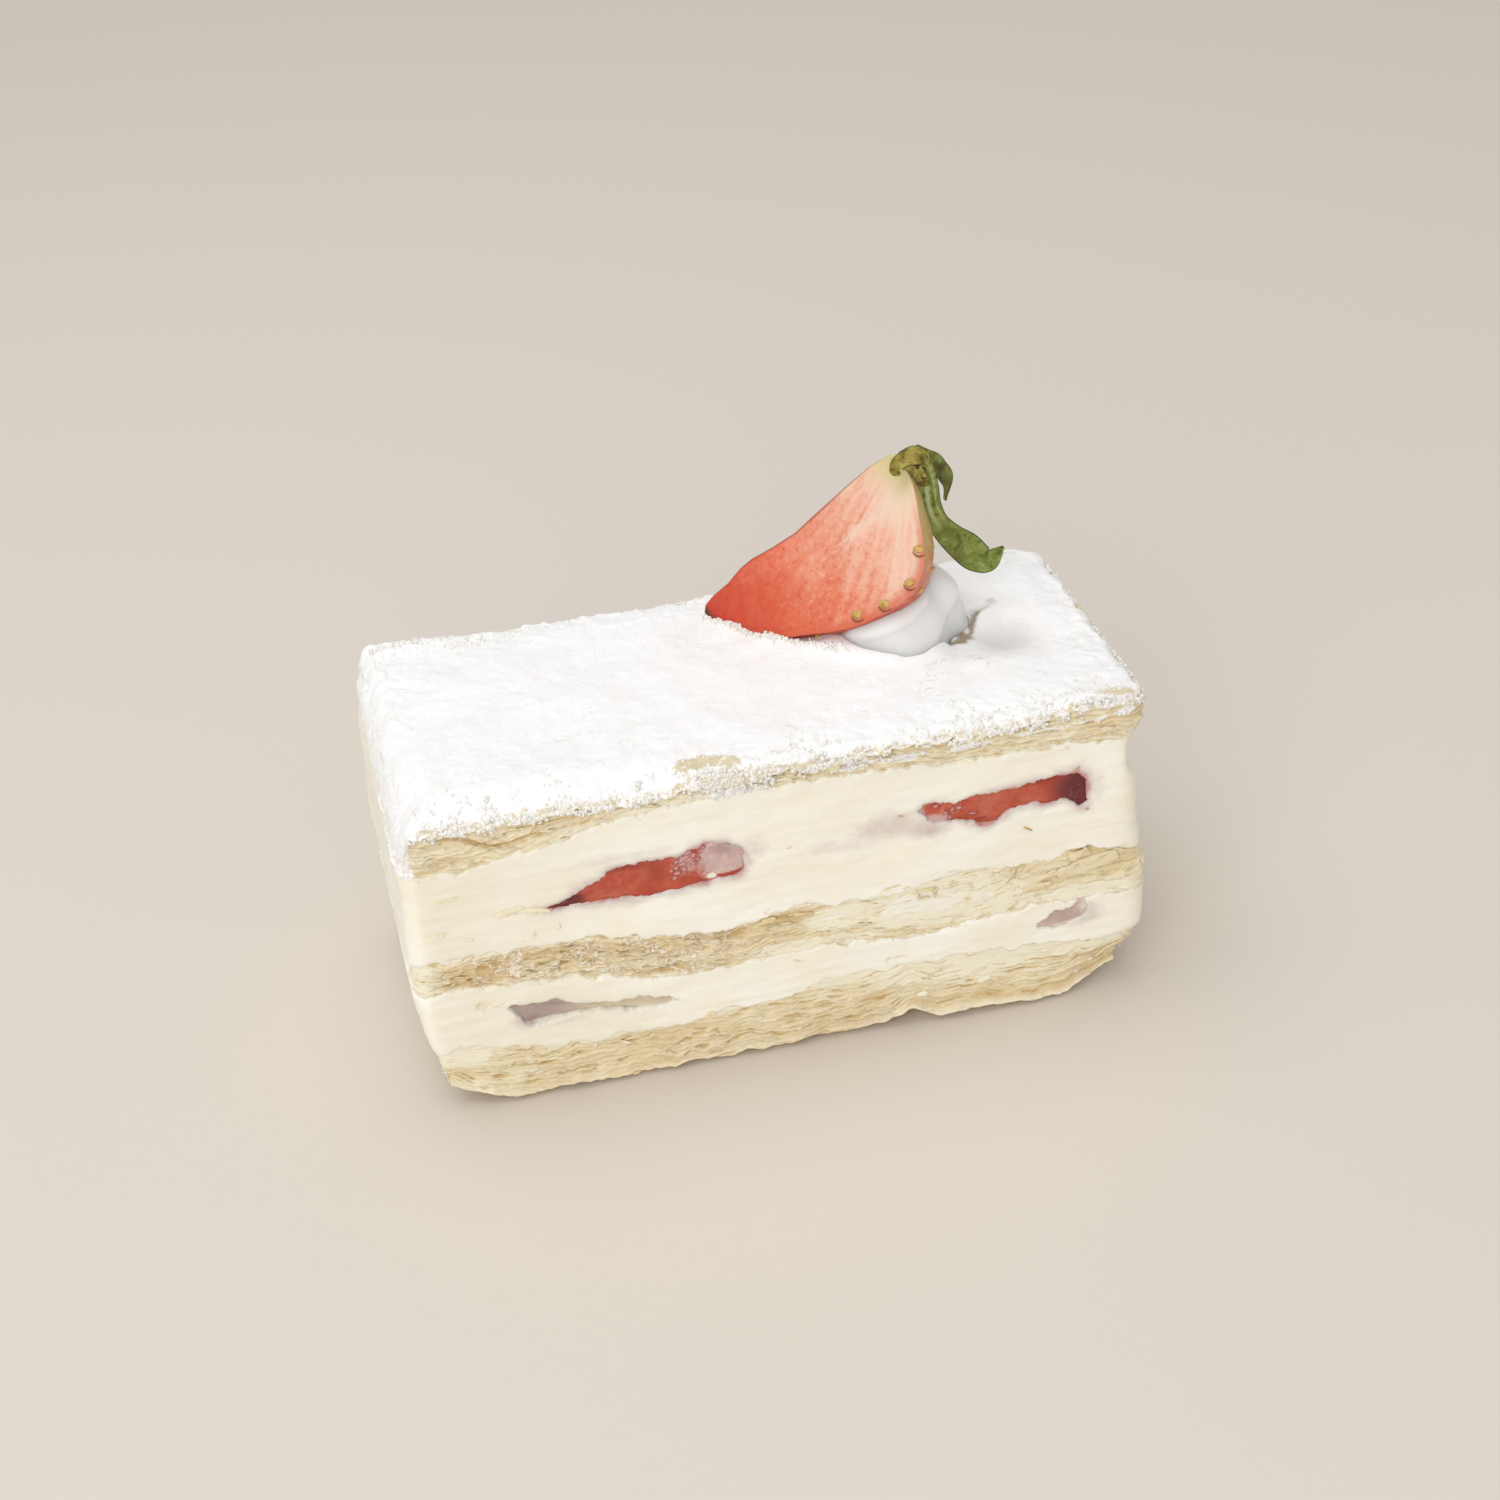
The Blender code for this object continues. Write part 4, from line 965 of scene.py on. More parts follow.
# what covers, darkens or hides each cut, as x, z, half width, half height, strength
cutShades = dict(
    # strokes are short raised curls of cream, as x, z, half length, slant in degrees
    front_left=dict(
        veil=[(-8.6, 35.4, 4.6, 4.6, 0.95), (-14.2, 35.6, 3.0, 3.6, 0.68), (-32.2, 33.0, 2.0, 1.2, 0.5)],
        bare=[(-7.8, 32.1, 2.4, 0.7, 1.0), (-23, 34.5, 7.5, 3.2, 0.7)],
        dark=[(-31.5, 32.8, 3.2, 1.8, 0.9), (-24, 36.8, 6, 0.9, 0.5), (-18.4, 35.6, 1.6, 2.4, 0.4),
              (-8.0, 34.5, 0.3, 1.0, 0.9), (-10.4, 33.5, 0.8, 0.25, 0.8)],
        gleam=[(-8.6, 35.6, 3.8, 3.0, 0.5)], shadow=[(-8.0, 37.0, 2.2, 1.2, 0.3)],
        fade=[(-10.4, 32.6, 0.8, 0.6, 1.0)],
        strokes=[(-13.6, 37.3, 0.8, 30), (-14.5, 35.5, 0.7, 12), (-13.6, 36.1, 0.75, 32),
                 (-15.3, 36.1, 0.5, 25), (-15.3, 34.2, 0.6, 12), (-12.8, 36.8, 0.5, 45),
                 (-12.2, 36.0, 0.4, 0), (-11.4, 37.8, 0.35, 30), (-12.5, 38.0, 0.4, 40),
                 (-15.7, 33.5, 0.4, 40), (-15.4, 35.1, 0.5, 10), (-14.8, 37.0, 0.55, -20),
                 (-12.9, 35.3, 0.5, 20), (-14.2, 34.6, 0.4, 30), (-16.1, 34.7, 0.3, 20)],
    ),
    front_right=dict(
        veil=[(22.4, 35.2, 3.2, 1.4, 0.8), (26.0, 38.2, 1.4, 0.8, 0.5)],
        bare=[(46, 36, 5, 5, 1.0), (34, 36.5, 7, 2.6, 0.7)],
        dark=[(46.4, 36.4, 6.5, 5.5, 1.0), (38.5, 38.9, 7, 0.8, 0.5), (38, 34.4, 5, 0.8, 0.5),
              (30, 34.0, 3, 0.6, 0.35)],
        gleam=[(25.0, 36.4, 3.4, 2.0, 0.6), (43.9, 35.6, 2.4, 2.0, 0.5)],
        strokes=[(23.6, 38.0, 0.45, 30), (25.2, 36.6, 0.5, 60), (26.2, 36.7, 0.5, 0),
                 (24.2, 36.3, 0.5, -20), (24.8, 35.5, 0.4, 70), (22.8, 37.6, 0.4, 10),
                 (28.2, 35.4, 0.7, -10)],
    ),
    low_left=dict(
        shadow=[(-38.9, 16.8, 2.2, 0.45, 0.9), (-31, 15.6, 5, 0.3, 0.35), (-38.0, 13.6, 1.3, 0.7, 0.35)],
        fade=[(-33.5, 12.9, 5.5, 0.8, 0.9), (-25, 12.0, 7, 0.7, 0.8), (-39.6, 12.6, 1.8, 0.9, 0.9),
              (-41.2, 14.8, 1.3, 1.7, 0.8)],
    ),
    low_right=dict(
        veil=[(43, 14, 9, 8, 0.85)],
        dark=[(40.2, 14.9, 1.6, 0.5, 0.9), (43.6, 16.3, 1.8, 0.45, 0.9)],
        gleam=[(41.0, 13.8, 1.3, 1.0, 0.6)], shadow=[(42, 14.5, 4, 1.6, 0.25)],
        fade=[(46.8, 15.0, 2.4, 2.6, 0.6), (43.5, 12.6, 4.5, 0.9, 0.8)],
    ),
)


# a berry sunk in the cream: rings shrink towards the cut's middle on its face, and towards a point behind it
# along a quarter ellipse
def makeCutBerry(name, cut, material):
    outline, side = cut["outline"], cut["side"]
    centre = outline.mean(0)
    if side > 0:
        outline = outline[::-1]
    face = np.linspace(0.02, 1, 70)
    back = np.linspace(0, math.pi / 2, 22)[1:-1]
    scale = np.concatenate((face, np.cos(back) * 0.98 + 0.02))[:, None, None]
    sunk = np.concatenate((0.25 * face ** 8, 0.25 + np.sin(back) * (cut["reach"] - 0.3)))[:, None]
    flat = centre + (outline - centre)[None] * scale
    x, z = flat[..., 0], flat[..., 1]
    onFace = (np.arange(len(scale)) < len(face))[:, None]
    source = cut.get("copy", name)
    shades = cutShades[source]
    turned = x if side < 0 else -(x - cut["shift"][0])
    level = z if side < 0 else z - cut["shift"][1]
    stroke = np.zeros(x.shape)
    for atX, atZ, halfLength, slant in shades.get("strokes", ()):
        angle = math.radians(slant)
        along = ((turned - atX) * math.cos(angle) + (level - atZ) * math.sin(angle)) / halfLength
        beside = (level - atZ) * math.cos(angle) - (turned - atX) * math.sin(angle)
        beside = (beside - 0.1 * along ** 2) / 0.32
        stroke = np.maximum(stroke, np.exp(-along ** 4 - beside ** 2) * onFace)
    relief = (0.22 * roughNoise(x, z, 0, 2.6, 4, 81) + 0.3 * stroke) * onFace
    y = side * (slicePlan["halfDepth"] + 0.15 - cut["sunk"] - sunk + relief)

    def spots(key):
        return softSpots(turned, level, shades.get(key, ()))

    rim = np.concatenate((face ** 10, np.ones(len(back))))[:, None]
    upper = smoothStep((level - np.median(outline[:, 1])) / 1.5 + 0.5)
    soft = np.concatenate((face ** 5, np.ones(len(back))))[:, None]
    veil = np.clip(np.maximum(spots("veil"), 0.4 * rim + 0.4 * soft * upper) - spots("bare"), 0, 1)
    gap = np.full(x.shape, {"low_left": 1.0, "low_right": 0.35}.get(source, 0.0))
    beige = smoothStep((turned + 36) / 9)
    looks = {"veil": veil, "gap": gap, "beige": beige, "stroke": stroke}
    looks.update({key: spots(key) for key in ("dark", "gleam", "shadow", "fade")})
    addTube("cut_" + name, np.stack((x, y, z), -1), material, ["berry_" + name], looks)


# the quarter strawberry on top

wedgePlan = dict(
    tip=(-0.3, 18.0, 50.9), crown=(27.8, 10.0, 76.3), faceDown=(0.21, -0.84, -0.50), sector=62,
    # the cut face's edge as distance along the ridge and down the face
    edge=[(0, 0), (0.6, 2.2), (2.2, 4.4), (4.7, 7.2), (8.4, 11.2), (12.6, 13.7), (16.6, 16.1), (20.6, 18.0),
          (25.2, 19.2), (29.4, 19.8), (32.2, 18.9), (34.4, 17.0), (35.8, 14.4), (37.0, 11.2), (38.3, 8.0),
          (39.2, 4.6), (39.0, 0)],
    # the ridge's bow outwards, at distances along it
    bow=[(0, 0.1), (1, 0.9), (3, 1.2), (6, 1.2), (9, 1.7), (11.4, 1.7), (15.3, 1.0), (19.4, 0.5),
         (23.5, 0.7), (27, 0.8), (30, 0.9), (34.6, 0.9), (38.8, 0.3)],
    rows=170, faceSteps=52, skinSteps=40,
)


# the ramps run from tip to crown: over the seen face, beside its ridge, and over the skin
wedgeLook = dict(
    flesh=[(0.0, (180, 48, 30)), (0.1, (200, 70, 44)), (0.26, (208, 90, 58)), (0.44, (219, 116, 84)),
           (0.6, (226, 148, 118)), (0.76, (233, 182, 158)), (0.9, (233, 200, 176)), (1.0, (233, 205, 178))],
    ridge=[(0.0, (182, 52, 32)), (0.2, (204, 82, 54)), (0.38, (222, 118, 86)), (0.54, (225, 142, 114)),
           (0.7, (228, 164, 138)), (0.84, (231, 190, 164)), (1.0, (222, 196, 150))],
    skin=[(0.0, (140, 26, 20)), (0.3, (178, 48, 32)), (0.7, (198, 80, 52)), (0.9, (216, 128, 88)),
          (1.0, (210, 186, 120))],
    core=(234, 206, 186), speck=(238, 196, 176), pit=(186, 66, 46), calyx=(206, 194, 138),
    rim=(208, 98, 66), edge=(148, 58, 44), tip=(96, 58, 30),
)


# the hidden side is drawn in towards the crown, more the further it turns from the seen face
def wedgeTuck(t, turn):
    return 1 - 0.34 * smoothStep((t - 23) / 13) * turn


# the ridge's direction, the direction down the seen face, and the direction into the berry behind it
def wedgeAxes():
    tip, crown = np.array(wedgePlan["tip"]), np.array(wedgePlan["crown"])
    ridge = (crown - tip) / np.linalg.norm(crown - tip)
    down = np.array(wedgePlan["faceDown"])
    down = down - ridge * (down @ ridge)
    down = down / np.linalg.norm(down)
    return tip, ridge, down, np.cross(ridge, down)


def wedgeMaterial():
    look = wedgeLook
    finish = Finish("quarter strawberry", 0.36, 0.35)
    along, outward, skin = finish.attribute("along"), finish.attribute("outward"), finish.attribute("skin")
    cloudy = finish.noise(170, 6, 0.7, (1, 1, 1), 0.6)
    fine = finish.noise(1100, 5, 0.75)
    wander = ((cloudy - 0.5) * 0.42).ragged(fine, 0.22)
    place = (along + wander).ragged(finish.attribute("streaks"), 0.16)
    flesh, ridgeTone, skinTone = (place.ramp(*look[key]) for key in ("flesh", "ridge", "skin"))
    flesh = finish.mix((outward + wander * 0.35).span(0.36, 0.16), flesh, ridgeTone)
    core = finish.attribute("core").ragged(cloudy, 0.8).ragged(fine, 0.5).span(0.2, 1.0)
    flesh = finish.mix(core * 0.6, flesh, look["core"])
    flesh = finish.mix(fine.span(0.5, 0.72) * along.span(0.1, 0.7) * 0.4, flesh, look["speck"])
    flesh = finish.mix(fine.span(0.46, 0.34) * along.span(0.95, 0.5) * 0.4, flesh, look["pit"])
    calyx = finish.attribute("calyx").ragged(cloudy, 0.5)
    flesh = finish.mix(calyx.span(0.1, 1.0) * 0.85, flesh, look["calyx"])
    rim = outward.ragged(cloudy, 0.1).span(0.88, 0.98) * along.span(1.0, 0.9)
    flesh = finish.mix(rim * 0.75, flesh, look["rim"])
    flesh = finish.mix(outward.span(0.03, 0.0) * 0.6, flesh, look["edge"])
    berry = finish.mix(skin, flesh, skinTone)
    finish.colour(finish.mix(along.span(0.035, 0.012), berry, look["tip"]))
    finish.bump(fine + cloudy * 1.5, 0.4, 0.0005)
    finish.glow(0.12, (1.0, 0.45, 0.3), 0.0012)
    return finish.material


# rows run from tip to crown. Each row is a loop: down the seen face, round the skin as an arc about the
# ridge, and back up the hidden face to the ridge
def makeWedge(material):
    values = wedgePlan
    tip, ridge, down, inward = wedgeAxes()
    share = np.linspace(0, 1, values["rows"])[1:-1]
    edge = smoothCurve(values["edge"], share)
    along, radius = edge[:, 0][:, None], np.maximum(edge[:, 1], 0.05)[:, None]
    sector = math.radians(values["sector"])
    faceShare = np.linspace(0, 1, values["faceSteps"])[None, :]
    arc = np.linspace(0, 1, values["skinSteps"])[None, 1:]
    backShare = np.linspace(1, 0, values["faceSteps"])[None, 1:-1]
    out = np.concatenate((faceShare, np.ones(arc.shape), backShare), 1)
    turn = np.concatenate((0 * faceShare, arc, np.ones(backShare.shape)), 1)
    angle = turn * sector
    ridgeAlong = 38.8 * share[:, None] ** 1.05
    stations = np.array(values["bow"])
    bow = np.interp(ridgeAlong, stations[:, 0], stations[:, 1])
    t = ridgeAlong * (1 - out) + along * out
    middle = down * math.cos(sector / 2) + inward * math.sin(sector / 2)
    reach = out * radius * wedgeTuck(t, turn)
    outward = down * np.cos(angle)[..., None] + inward * np.sin(angle)[..., None]
    points = tip + ridge * t[..., None] + outward * reach[..., None]
    points = points - middle * (bow * (1 - out) ** 1.5)[..., None]
    onFace = angle == 0
    depth = out * radius
    dimple = 0.2 * roughNoise(t, depth, 0, 3.4, 4, 91) + 0.12 * bell((depth - 6.3) / 0.8)
    points = points - inward * (np.where(onFace, dimple * np.sin(out * math.pi), 0))[..., None]
    # vessels fan out from the crown: streaks run along lines of one angle seen from there
    fan = np.arctan2(depth + 1.0, 44 - t)
    streaks = 0.5 + 0.5 * roughNoise(fan * 30, 0, t / 6, 1.0, 4, 92) * smoothStep((t - 8) / 12)
    width = 0.5 + 2.4 * smoothStep((t - 24) / 16)
    core = bell((depth - 6.4 + 0.06 * np.maximum(t - 28, 0) ** 1.2) / width) * smoothStep((t - 13) / 16)
    # a pale vessel that runs level across the face from the core towards its lower edge
    branch = bell((t - 19.5 - 0.35 * (depth - 6) + 0.5 * np.sin(depth)) / 0.45)
    branch = branch * smoothStep((depth - 5) / 2) * smoothStep((13 - depth) / 3)
    core = np.maximum(core, 0.55 * branch)
    skin = np.where((angle > 0) & (angle < sector), 1.0, 0.0)
    calyx = np.exp(-((t - 39) / 4.6) ** 2 - ((depth - 2) / 6.0) ** 2)
    look = {"along": np.clip(t / 39, 0, 1), "outward": out, "skin": skin, "streaks": streaks,
            "core": core * onFace, "calyx": calyx}
    addTube("quarter_berry", points, material, ["berry_quarter"],
            {key: array + 0 * t for key, array in look.items()})


seedPlan = dict(
    rows=7, around=5, size=(0.55, 0.34, 0.3), tone=(204, 168, 96), dark=(172, 128, 64), hook=(134, 80, 36),
    atEdge=[(21.4, 17.3), (25.9, 18.8), (30.9, 18.7), (34.7, 15.4)],
)


def seedMaterial():
    finish = Finish("berry seeds", 0.4)
    seed = finish.mix(finish.noise(1400, 3).span(0.35, 0.6), seedPlan["dark"], seedPlan["tone"])
    finish.colour(finish.mix(finish.attribute("hook"), seed, seedPlan["hook"]))
    return finish.material


# an ellipsoid of few faces, as points and faces: rings of sin and cos closed by two poles
def smallBall(rings, around):
    polar = np.linspace(0, math.pi, rings + 2)[1:-1][:, None]
    turn = np.linspace(0, 2 * math.pi, around, endpoint=False)[None, :]
    wide = np.sin(polar)
    grid = np.stack((wide * np.cos(turn), wide * np.sin(turn), -np.cos(polar) + 0 * turn), -1)
    points = np.concatenate((grid.reshape(-1, 3), [[0, 0, -1]], [[0, 0, 1]]))
    faces = tubeFaces(rings, around)
    return points, np.array([face if len(face) == 4 else face + face[-1:] for face in faces])


# copies of a small shape, each scaled along and turned onto its own three axes
def scatterShape(shape, faces, centres, axes):
    points = np.einsum("vi,nij->nvj", shape, axes) + centres[:, None, :]
    shifted = faces[None] + (np.arange(len(centres)) * len(shape))[:, None, None]
    quads = shifted.reshape(-1, 4)
    return points.reshape(-1, 3), [tuple(q[:3]) if q[2] == q[3] else tuple(q) for q in quads.tolist()]


# seeds in rows along the skin, every other one half a row further on
def makeSeeds(material):
    values = seedPlan
    tip, ridge, down, inward = wedgeAxes()
    sector = math.radians(wedgePlan["sector"])
    centres, axes = [], []
    edge = smoothCurve(wedgePlan["edge"], np.linspace(0, 1, 400))
    for row in range(values["rows"]):
        for step in range(values["around"]):
            t = 5 + 30 * (row + 0.5 * (step % 2)) / values["rows"]
            angle = sector * (step + 0.7) / (values["around"] + 0.4)
            radius = np.interp(t, edge[:380, 0], edge[:380, 1]) * wedgeTuck(t, angle / sector)
            outward = down * math.cos(angle) + inward * math.sin(angle)
            sideways = np.cross(ridge, outward)
            centres.append(tip + ridge * t + outward * (radius - 0.05))
            axes.append((ridge * values["size"][0] * 1.4, sideways * values["size"][1] * 1.4,
                    outward * values["size"][2]))
    # the seeds that were cut through at the face's edge, each with a thin dark arc round its lower side
    for t, d in values["atEdge"]:
        slant = ridge * 0.8 + down * 0.6
        across = np.cross(slant, inward)
        centres.append(tip + ridge * t + down * (d - 0.75) + inward * 0.04)
        axes.append((slant * 0.95, across * 0.66, inward * 0.35))
    ball, ballFaces = smallBall(7, 10)
    points, faces = scatterShape(ball, ballFaces, np.array(centres), np.array(axes))
    # thin dark arcs round the seeds' lower sides, bent by the square of the place along them
    arcs, turns = [], []
    for t, d in values["atEdge"]:
        arcAlong = down * 0.75 + ridge * 0.66
        arcs.append(tip + ridge * (t - 0.4) + down * (d - 0.05) - inward * 0.05)
        turns.append((arcAlong * 1.15, -np.cross(arcAlong, inward) * 0.14, inward * 0.26))
    bent, bentFaces = smallBall(11, 8)
    bent = np.stack((bent[:, 2], bent[:, 1] - 4.0 * bent[:, 2] ** 2 + 2, bent[:, 0]), -1)
    arcPoints, arcFaces = scatterShape(bent, bentFaces, np.array(arcs), np.array(turns))
    faces = faces + [tuple(index + len(points) for index in face) for face in arcFaces]
    hook = np.concatenate((np.zeros(len(points)), np.ones(len(arcPoints))))
    addPiece("berry_seeds", np.concatenate((points, arcPoints)), faces, material,
            values={"hook": hook})


# leaves

leafLook = dict(
    dark=(62, 74, 24), green=(108, 120, 46), bright=(140, 149, 72), light=(176, 181, 122),
    stripe=(184, 187, 138), brown=(88, 66, 24), olive=(166, 150, 68), straw=(196, 184, 112),
    edge=(50, 42, 16),
)


def leafMaterial():
    look = leafLook
    finish = Finish("strawberry leaf", 0.5, 0.35)
    mottled = finish.noise(520, 6, 0.7, (1, 1, 1), 0.8)
    leaf = mottled.ramp((0.32, look["dark"]), (0.45, look["green"]), (0.58, look["bright"]),
            (0.76, look["light"]))
    olive = mottled.ramp((0.32, look["brown"]), (0.5, look["olive"]), (0.76, look["straw"]))
    leaf = finish.mix(finish.attribute("stripe").ragged(mottled, 0.8).span(0.3, 1.0), leaf, look["stripe"])
    leaf = finish.mix(finish.attribute("brown"), leaf, olive)
    leaf = finish.mix(finish.attribute("blot").ragged(mottled, 0.8).span(0.35, 0.8), leaf, look["brown"])
    finish.colour(finish.mix(finish.attribute("edge").span(0.88, 0.98), leaf, look["edge"]))
    finish.bump(mottled + finish.noise(1300, 4, 0.6) * 0.5, 0.6, 0.0005)
    finish.glow(0.12, (0.4, 1.0, 0.2), 0.0008)
    return finish.material


leaves = dict(
    leaf_long=dict(
        path=[(30.9, 8.2, 76.6), (31.8, 7.9, 74.2), (32.3, 7.7, 71.4), (32.5, 7.5, 68.6), (33.4, 7.4, 66.0),
              (35.4, 7.3, 63.2), (37.6, 7.3, 60.9), (39.6, 7.4, 58.8), (41.6, 7.6, 57.9),
              (43.9, 8.0, 59.4)],
        widths=[2.2, 3.2, 3.4, 3.3, 3.4, 4.3, 4.7, 4.4, 3.4, 0.4], faces=(-0.3, -1, 0.45), curl=0.6,
        wave=0.5, stands=["leaf_long"], brown=0.0, ripple=0.05, stripe=1.0, blot=0.1,
    ),
    leaf_short=dict(
        path=[(31.0, 10.9, 76.2), (33.1, 11.5, 74.6), (34.9, 12.1, 72.4), (36.2, 12.5, 69.8),
              (36.2, 12.7, 66.4)],
        widths=[1.6, 2.1, 2.6, 2.4, 0.3], faces=(0.4, -1, 0.4), curl=0.5, wave=0.3, stands=["leaf_short"],
        brown=0.0, ripple=0.05, stripe=0.0, blot=0.34,
    ),
    leaf_curl=dict(
        path=[(31.9, 8.4, 75.4), (31.2, 7.9, 76.4), (30.0, 7.4, 76.9), (28.7, 7.1, 76.8), (27.5, 6.9, 76.2),
              (27.0, 6.7, 75.4), (27.6, 6.6, 74.9)],
        widths=[0.8, 2.2, 2.7, 2.6, 1.9, 1.2, 0.4], faces=(-0.3, -1, 0.5), curl=0.9, wave=0.3, stands=[],
        brown=1.0, ripple=0.06, stripe=0.0, blot=0.1,
    ),
    leaf_fold=dict(
        path=[(30.6, 7.0, 75.6), (30.8, 6.8, 74.4), (31.2, 6.8, 73.2), (32.0, 7.0, 72.4)],
        widths=[1.0, 1.8, 1.5, 0.3], faces=(-0.3, -1, 0.3), curl=0.4, wave=0.2, stands=[], brown=1.0,
        ripple=0.1, stripe=0.0, blot=0.45,
    ),
)


# a ribbon along a smooth path: across it the leaf curls up as the square of the distance from its midrib,
# its edge waves with a sine, and a thin upper and lower skin meet at the edge
def makeLeaf(name, values, material):
    steps, half = 100, 15
    share = np.linspace(0, 1, steps)
    path = smoothCurve(values["path"], share)
    ahead = np.gradient(path, axis=0)
    ahead = ahead / np.linalg.norm(ahead, axis=1)[:, None]
    sideways = np.cross(ahead, np.array(values["faces"], float))
    sideways = sideways / np.linalg.norm(sideways, axis=1)[:, None]
    up = np.cross(sideways, ahead)
    width = np.maximum(smoothCurve(values["widths"], share), 0.2)
    width = width * (1 + values["ripple"] * np.sin(share * 19 + 1))
    across = np.linspace(-1, 1, half)
    loop = np.concatenate((across, across[::-1]))[None, :]
    skin = np.concatenate((np.ones(half), -np.ones(half)))[None, :]
    flutter = 0.4 * np.sin(share * 17 + 1)[:, None] * np.abs(loop) ** 2
    wave = values["wave"] * (0.7 * np.sin(share * 9)[:, None] * loop + flutter)
    crease = -0.2 * bell(loop / 0.16)
    thick = 0.2 * skin * np.sqrt(np.maximum(1 - loop ** 2, 0.0))
    lift = values["curl"] * loop ** 2 + wave + crease + thick + 0.27
    points = path[:, None] + sideways[:, None] * (loop * width[:, None] / 2)[..., None]
    points = points + up[:, None] * lift[..., None]
    brown = np.maximum(smoothStep((0.16 - share) / 0.16) * 0.7, values["brown"])[:, None]
    # pale stripes along the upper half of the blade, and dark blots
    bands = np.maximum(bell((loop - 0.1) / 0.3), 0.8 * bell((loop + 0.6) / 0.16))
    stripe = values["stripe"] * bands * smoothStep((0.62 - share) / 0.25)[:, None]
    blot = values["blot"] + 0.5 * latticeNoise(share[:, None] * 9, loop * 1.2, 0 * loop + 3, 103)
    looks = {"edge": np.abs(loop), "brown": brown, "stripe": stripe, "blot": blot}
    looks = {key: array + 0 * share[:, None] * loop for key, array in looks.items()}
    addTube(name + "_blade", points, material, values["stands"], looks)


# a crumpled cap: an ellipsoid pressed into folds that run out from its middle
def makeLeafCap(material):
    ridge, down, inward = wedgeAxes()[1:]
    polar = np.linspace(0.03, math.pi - 0.03, 44)[:, None]
    turn = np.linspace(0, 2 * math.pi, 96, endpoint=False)[None, :]
    folds = 1 + 0.1 * np.cos(5 * turn + 1) * np.sin(polar) + 0.05 * np.cos(11 * turn) * np.sin(polar) ** 2
    sizes = (1.5, 2.6, 2.2)
    centre = np.array(wedgePlan["crown"]) + ridge * 0.9 + down * 2.4 + inward * 2.0
    points = (centre + ridge * (-np.cos(polar) * sizes[0] + 0 * turn)[..., None]
              + down * (np.sin(polar) * np.cos(turn) * sizes[1] * folds)[..., None]
              + inward * (np.sin(polar) * np.sin(turn) * sizes[2] * folds)[..., None])
    bumps = 0.2 * roughNoise(points[..., 0], points[..., 1], points[..., 2], 1.6, 3, 101)
    points = points + ridge * bumps[..., None]
    blot = 0.15 + 0.4 * np.cos(5 * turn + 1) * np.sin(polar)
    addTube("leaf_cap_folds", points, material, ["leaf_cap"],
            {"blot": blot, "brown": 0.85 + 0 * blot})


# the swirl of cream on top

swirlPlan = dict(
    x=26.9, y=4.6, radius=9.4, height=10.2, folds=4, twist=1.0, lobe=(-1.9, 0.75, 2.0),
    white=(235, 233, 230), shade=(229, 227, 224),
)


# how far the swirl's foot reaches from its middle in each direction: drawn in at the front right
def swirlFoot(turn):
    dent = 1.6 * bell((np.angle(np.exp(1j * (turn + 0.75)))) / 0.4)
    return swirlPlan["radius"] * (1 + 0.05 * np.sin(2 * turn + 1)) - dent


def swirlMaterial():
    finish = Finish("whipped cream", 0.45, 0.4)
    share = finish.noise(140, 3, 0.5).span(0.35, 0.7)
    finish.colour(finish.mix(share, swirlPlan["white"], swirlPlan["shade"]))
    finish.bump(finish.noise(260, 4, 0.5), 0.15, 0.0004)
    finish.glow(1.0, (1.0, 0.97, 0.94), 0.006)
    return finish.material


# a dome whose folds lap over each other like petals and turn as they rise: the radius follows a ramp
# within each fold and drops at its edge
def makeSwirl(material):
    values = swirlPlan
    rise = np.linspace(0, 0.995, 70)[:, None] ** 0.85
    turn = np.linspace(0, 2 * math.pi, 260, endpoint=False)[None, :]
    phase = values["folds"] * turn / (2 * math.pi) - values["twist"] * values["folds"] * rise / 2
    part = phase - np.floor(phase)
    petal = smoothStep(part / 0.8) * (1 - smoothStep((part - 0.8) / 0.2))
    lobeTurn, lobeWidth, lobeReach = values["lobe"]
    lobe = lobeReach * bell((np.angle(np.exp(1j * (turn - lobeTurn)))) / lobeWidth) * (1 - rise) ** 2.2
    foot = swirlFoot(turn) * (1 + 0.13 * (1 - rise) ** 12) + lobe
    ripple = 0.012 * np.sin(3 * turn - 9 * rise) + 0.008 * np.sin(7 * turn + 5 * rise)
    radius = foot * np.sqrt(np.maximum(1 - rise ** 2.3, 0)) * (0.945 + 0.1 * petal * rise ** 0.35 + ripple)
    x = values["x"] + radius * np.cos(turn)
    y = values["y"] + radius * np.sin(turn)
    lifted = 0.5 * petal * (1 - rise) * smoothStep(rise / 0.15)
    z = slicePlan["crust"] - 0.5 + (values["height"] + 0.6) * rise + lifted + 0 * turn
    addTube("cream_swirl_folds", np.stack((x, y, z), -1), material, ["cream_swirl"])


# crumbs of sugar and flakes of pastry

crumbPlan = dict(seed=5, fallen=10000, skirt=6000, rim=6000, berry=260, size=(0.12, 0.4))
flakePlan = dict(
    seed=9, length=(0.5, 1.5), width=(0.14, 0.38), thick=(0.04, 0.08),
    beds=[  # the surfaces that bound each sheet's wall, the wall's shape, and how many chips it gets
        dict(low=None, high="baseTop", count=420, shape=baseShape, below=0.0, above=0.3, least=0.16),
        dict(low="middleBottom", high="middleTop", count=900, shape=middleShape, below=0.3, above=0.3,
             least=0.02),
        dict(low="topBottom", high="crust", count=600, shape=topShape, below=0.5, above=-1.7, least=0.02),
    ],
)
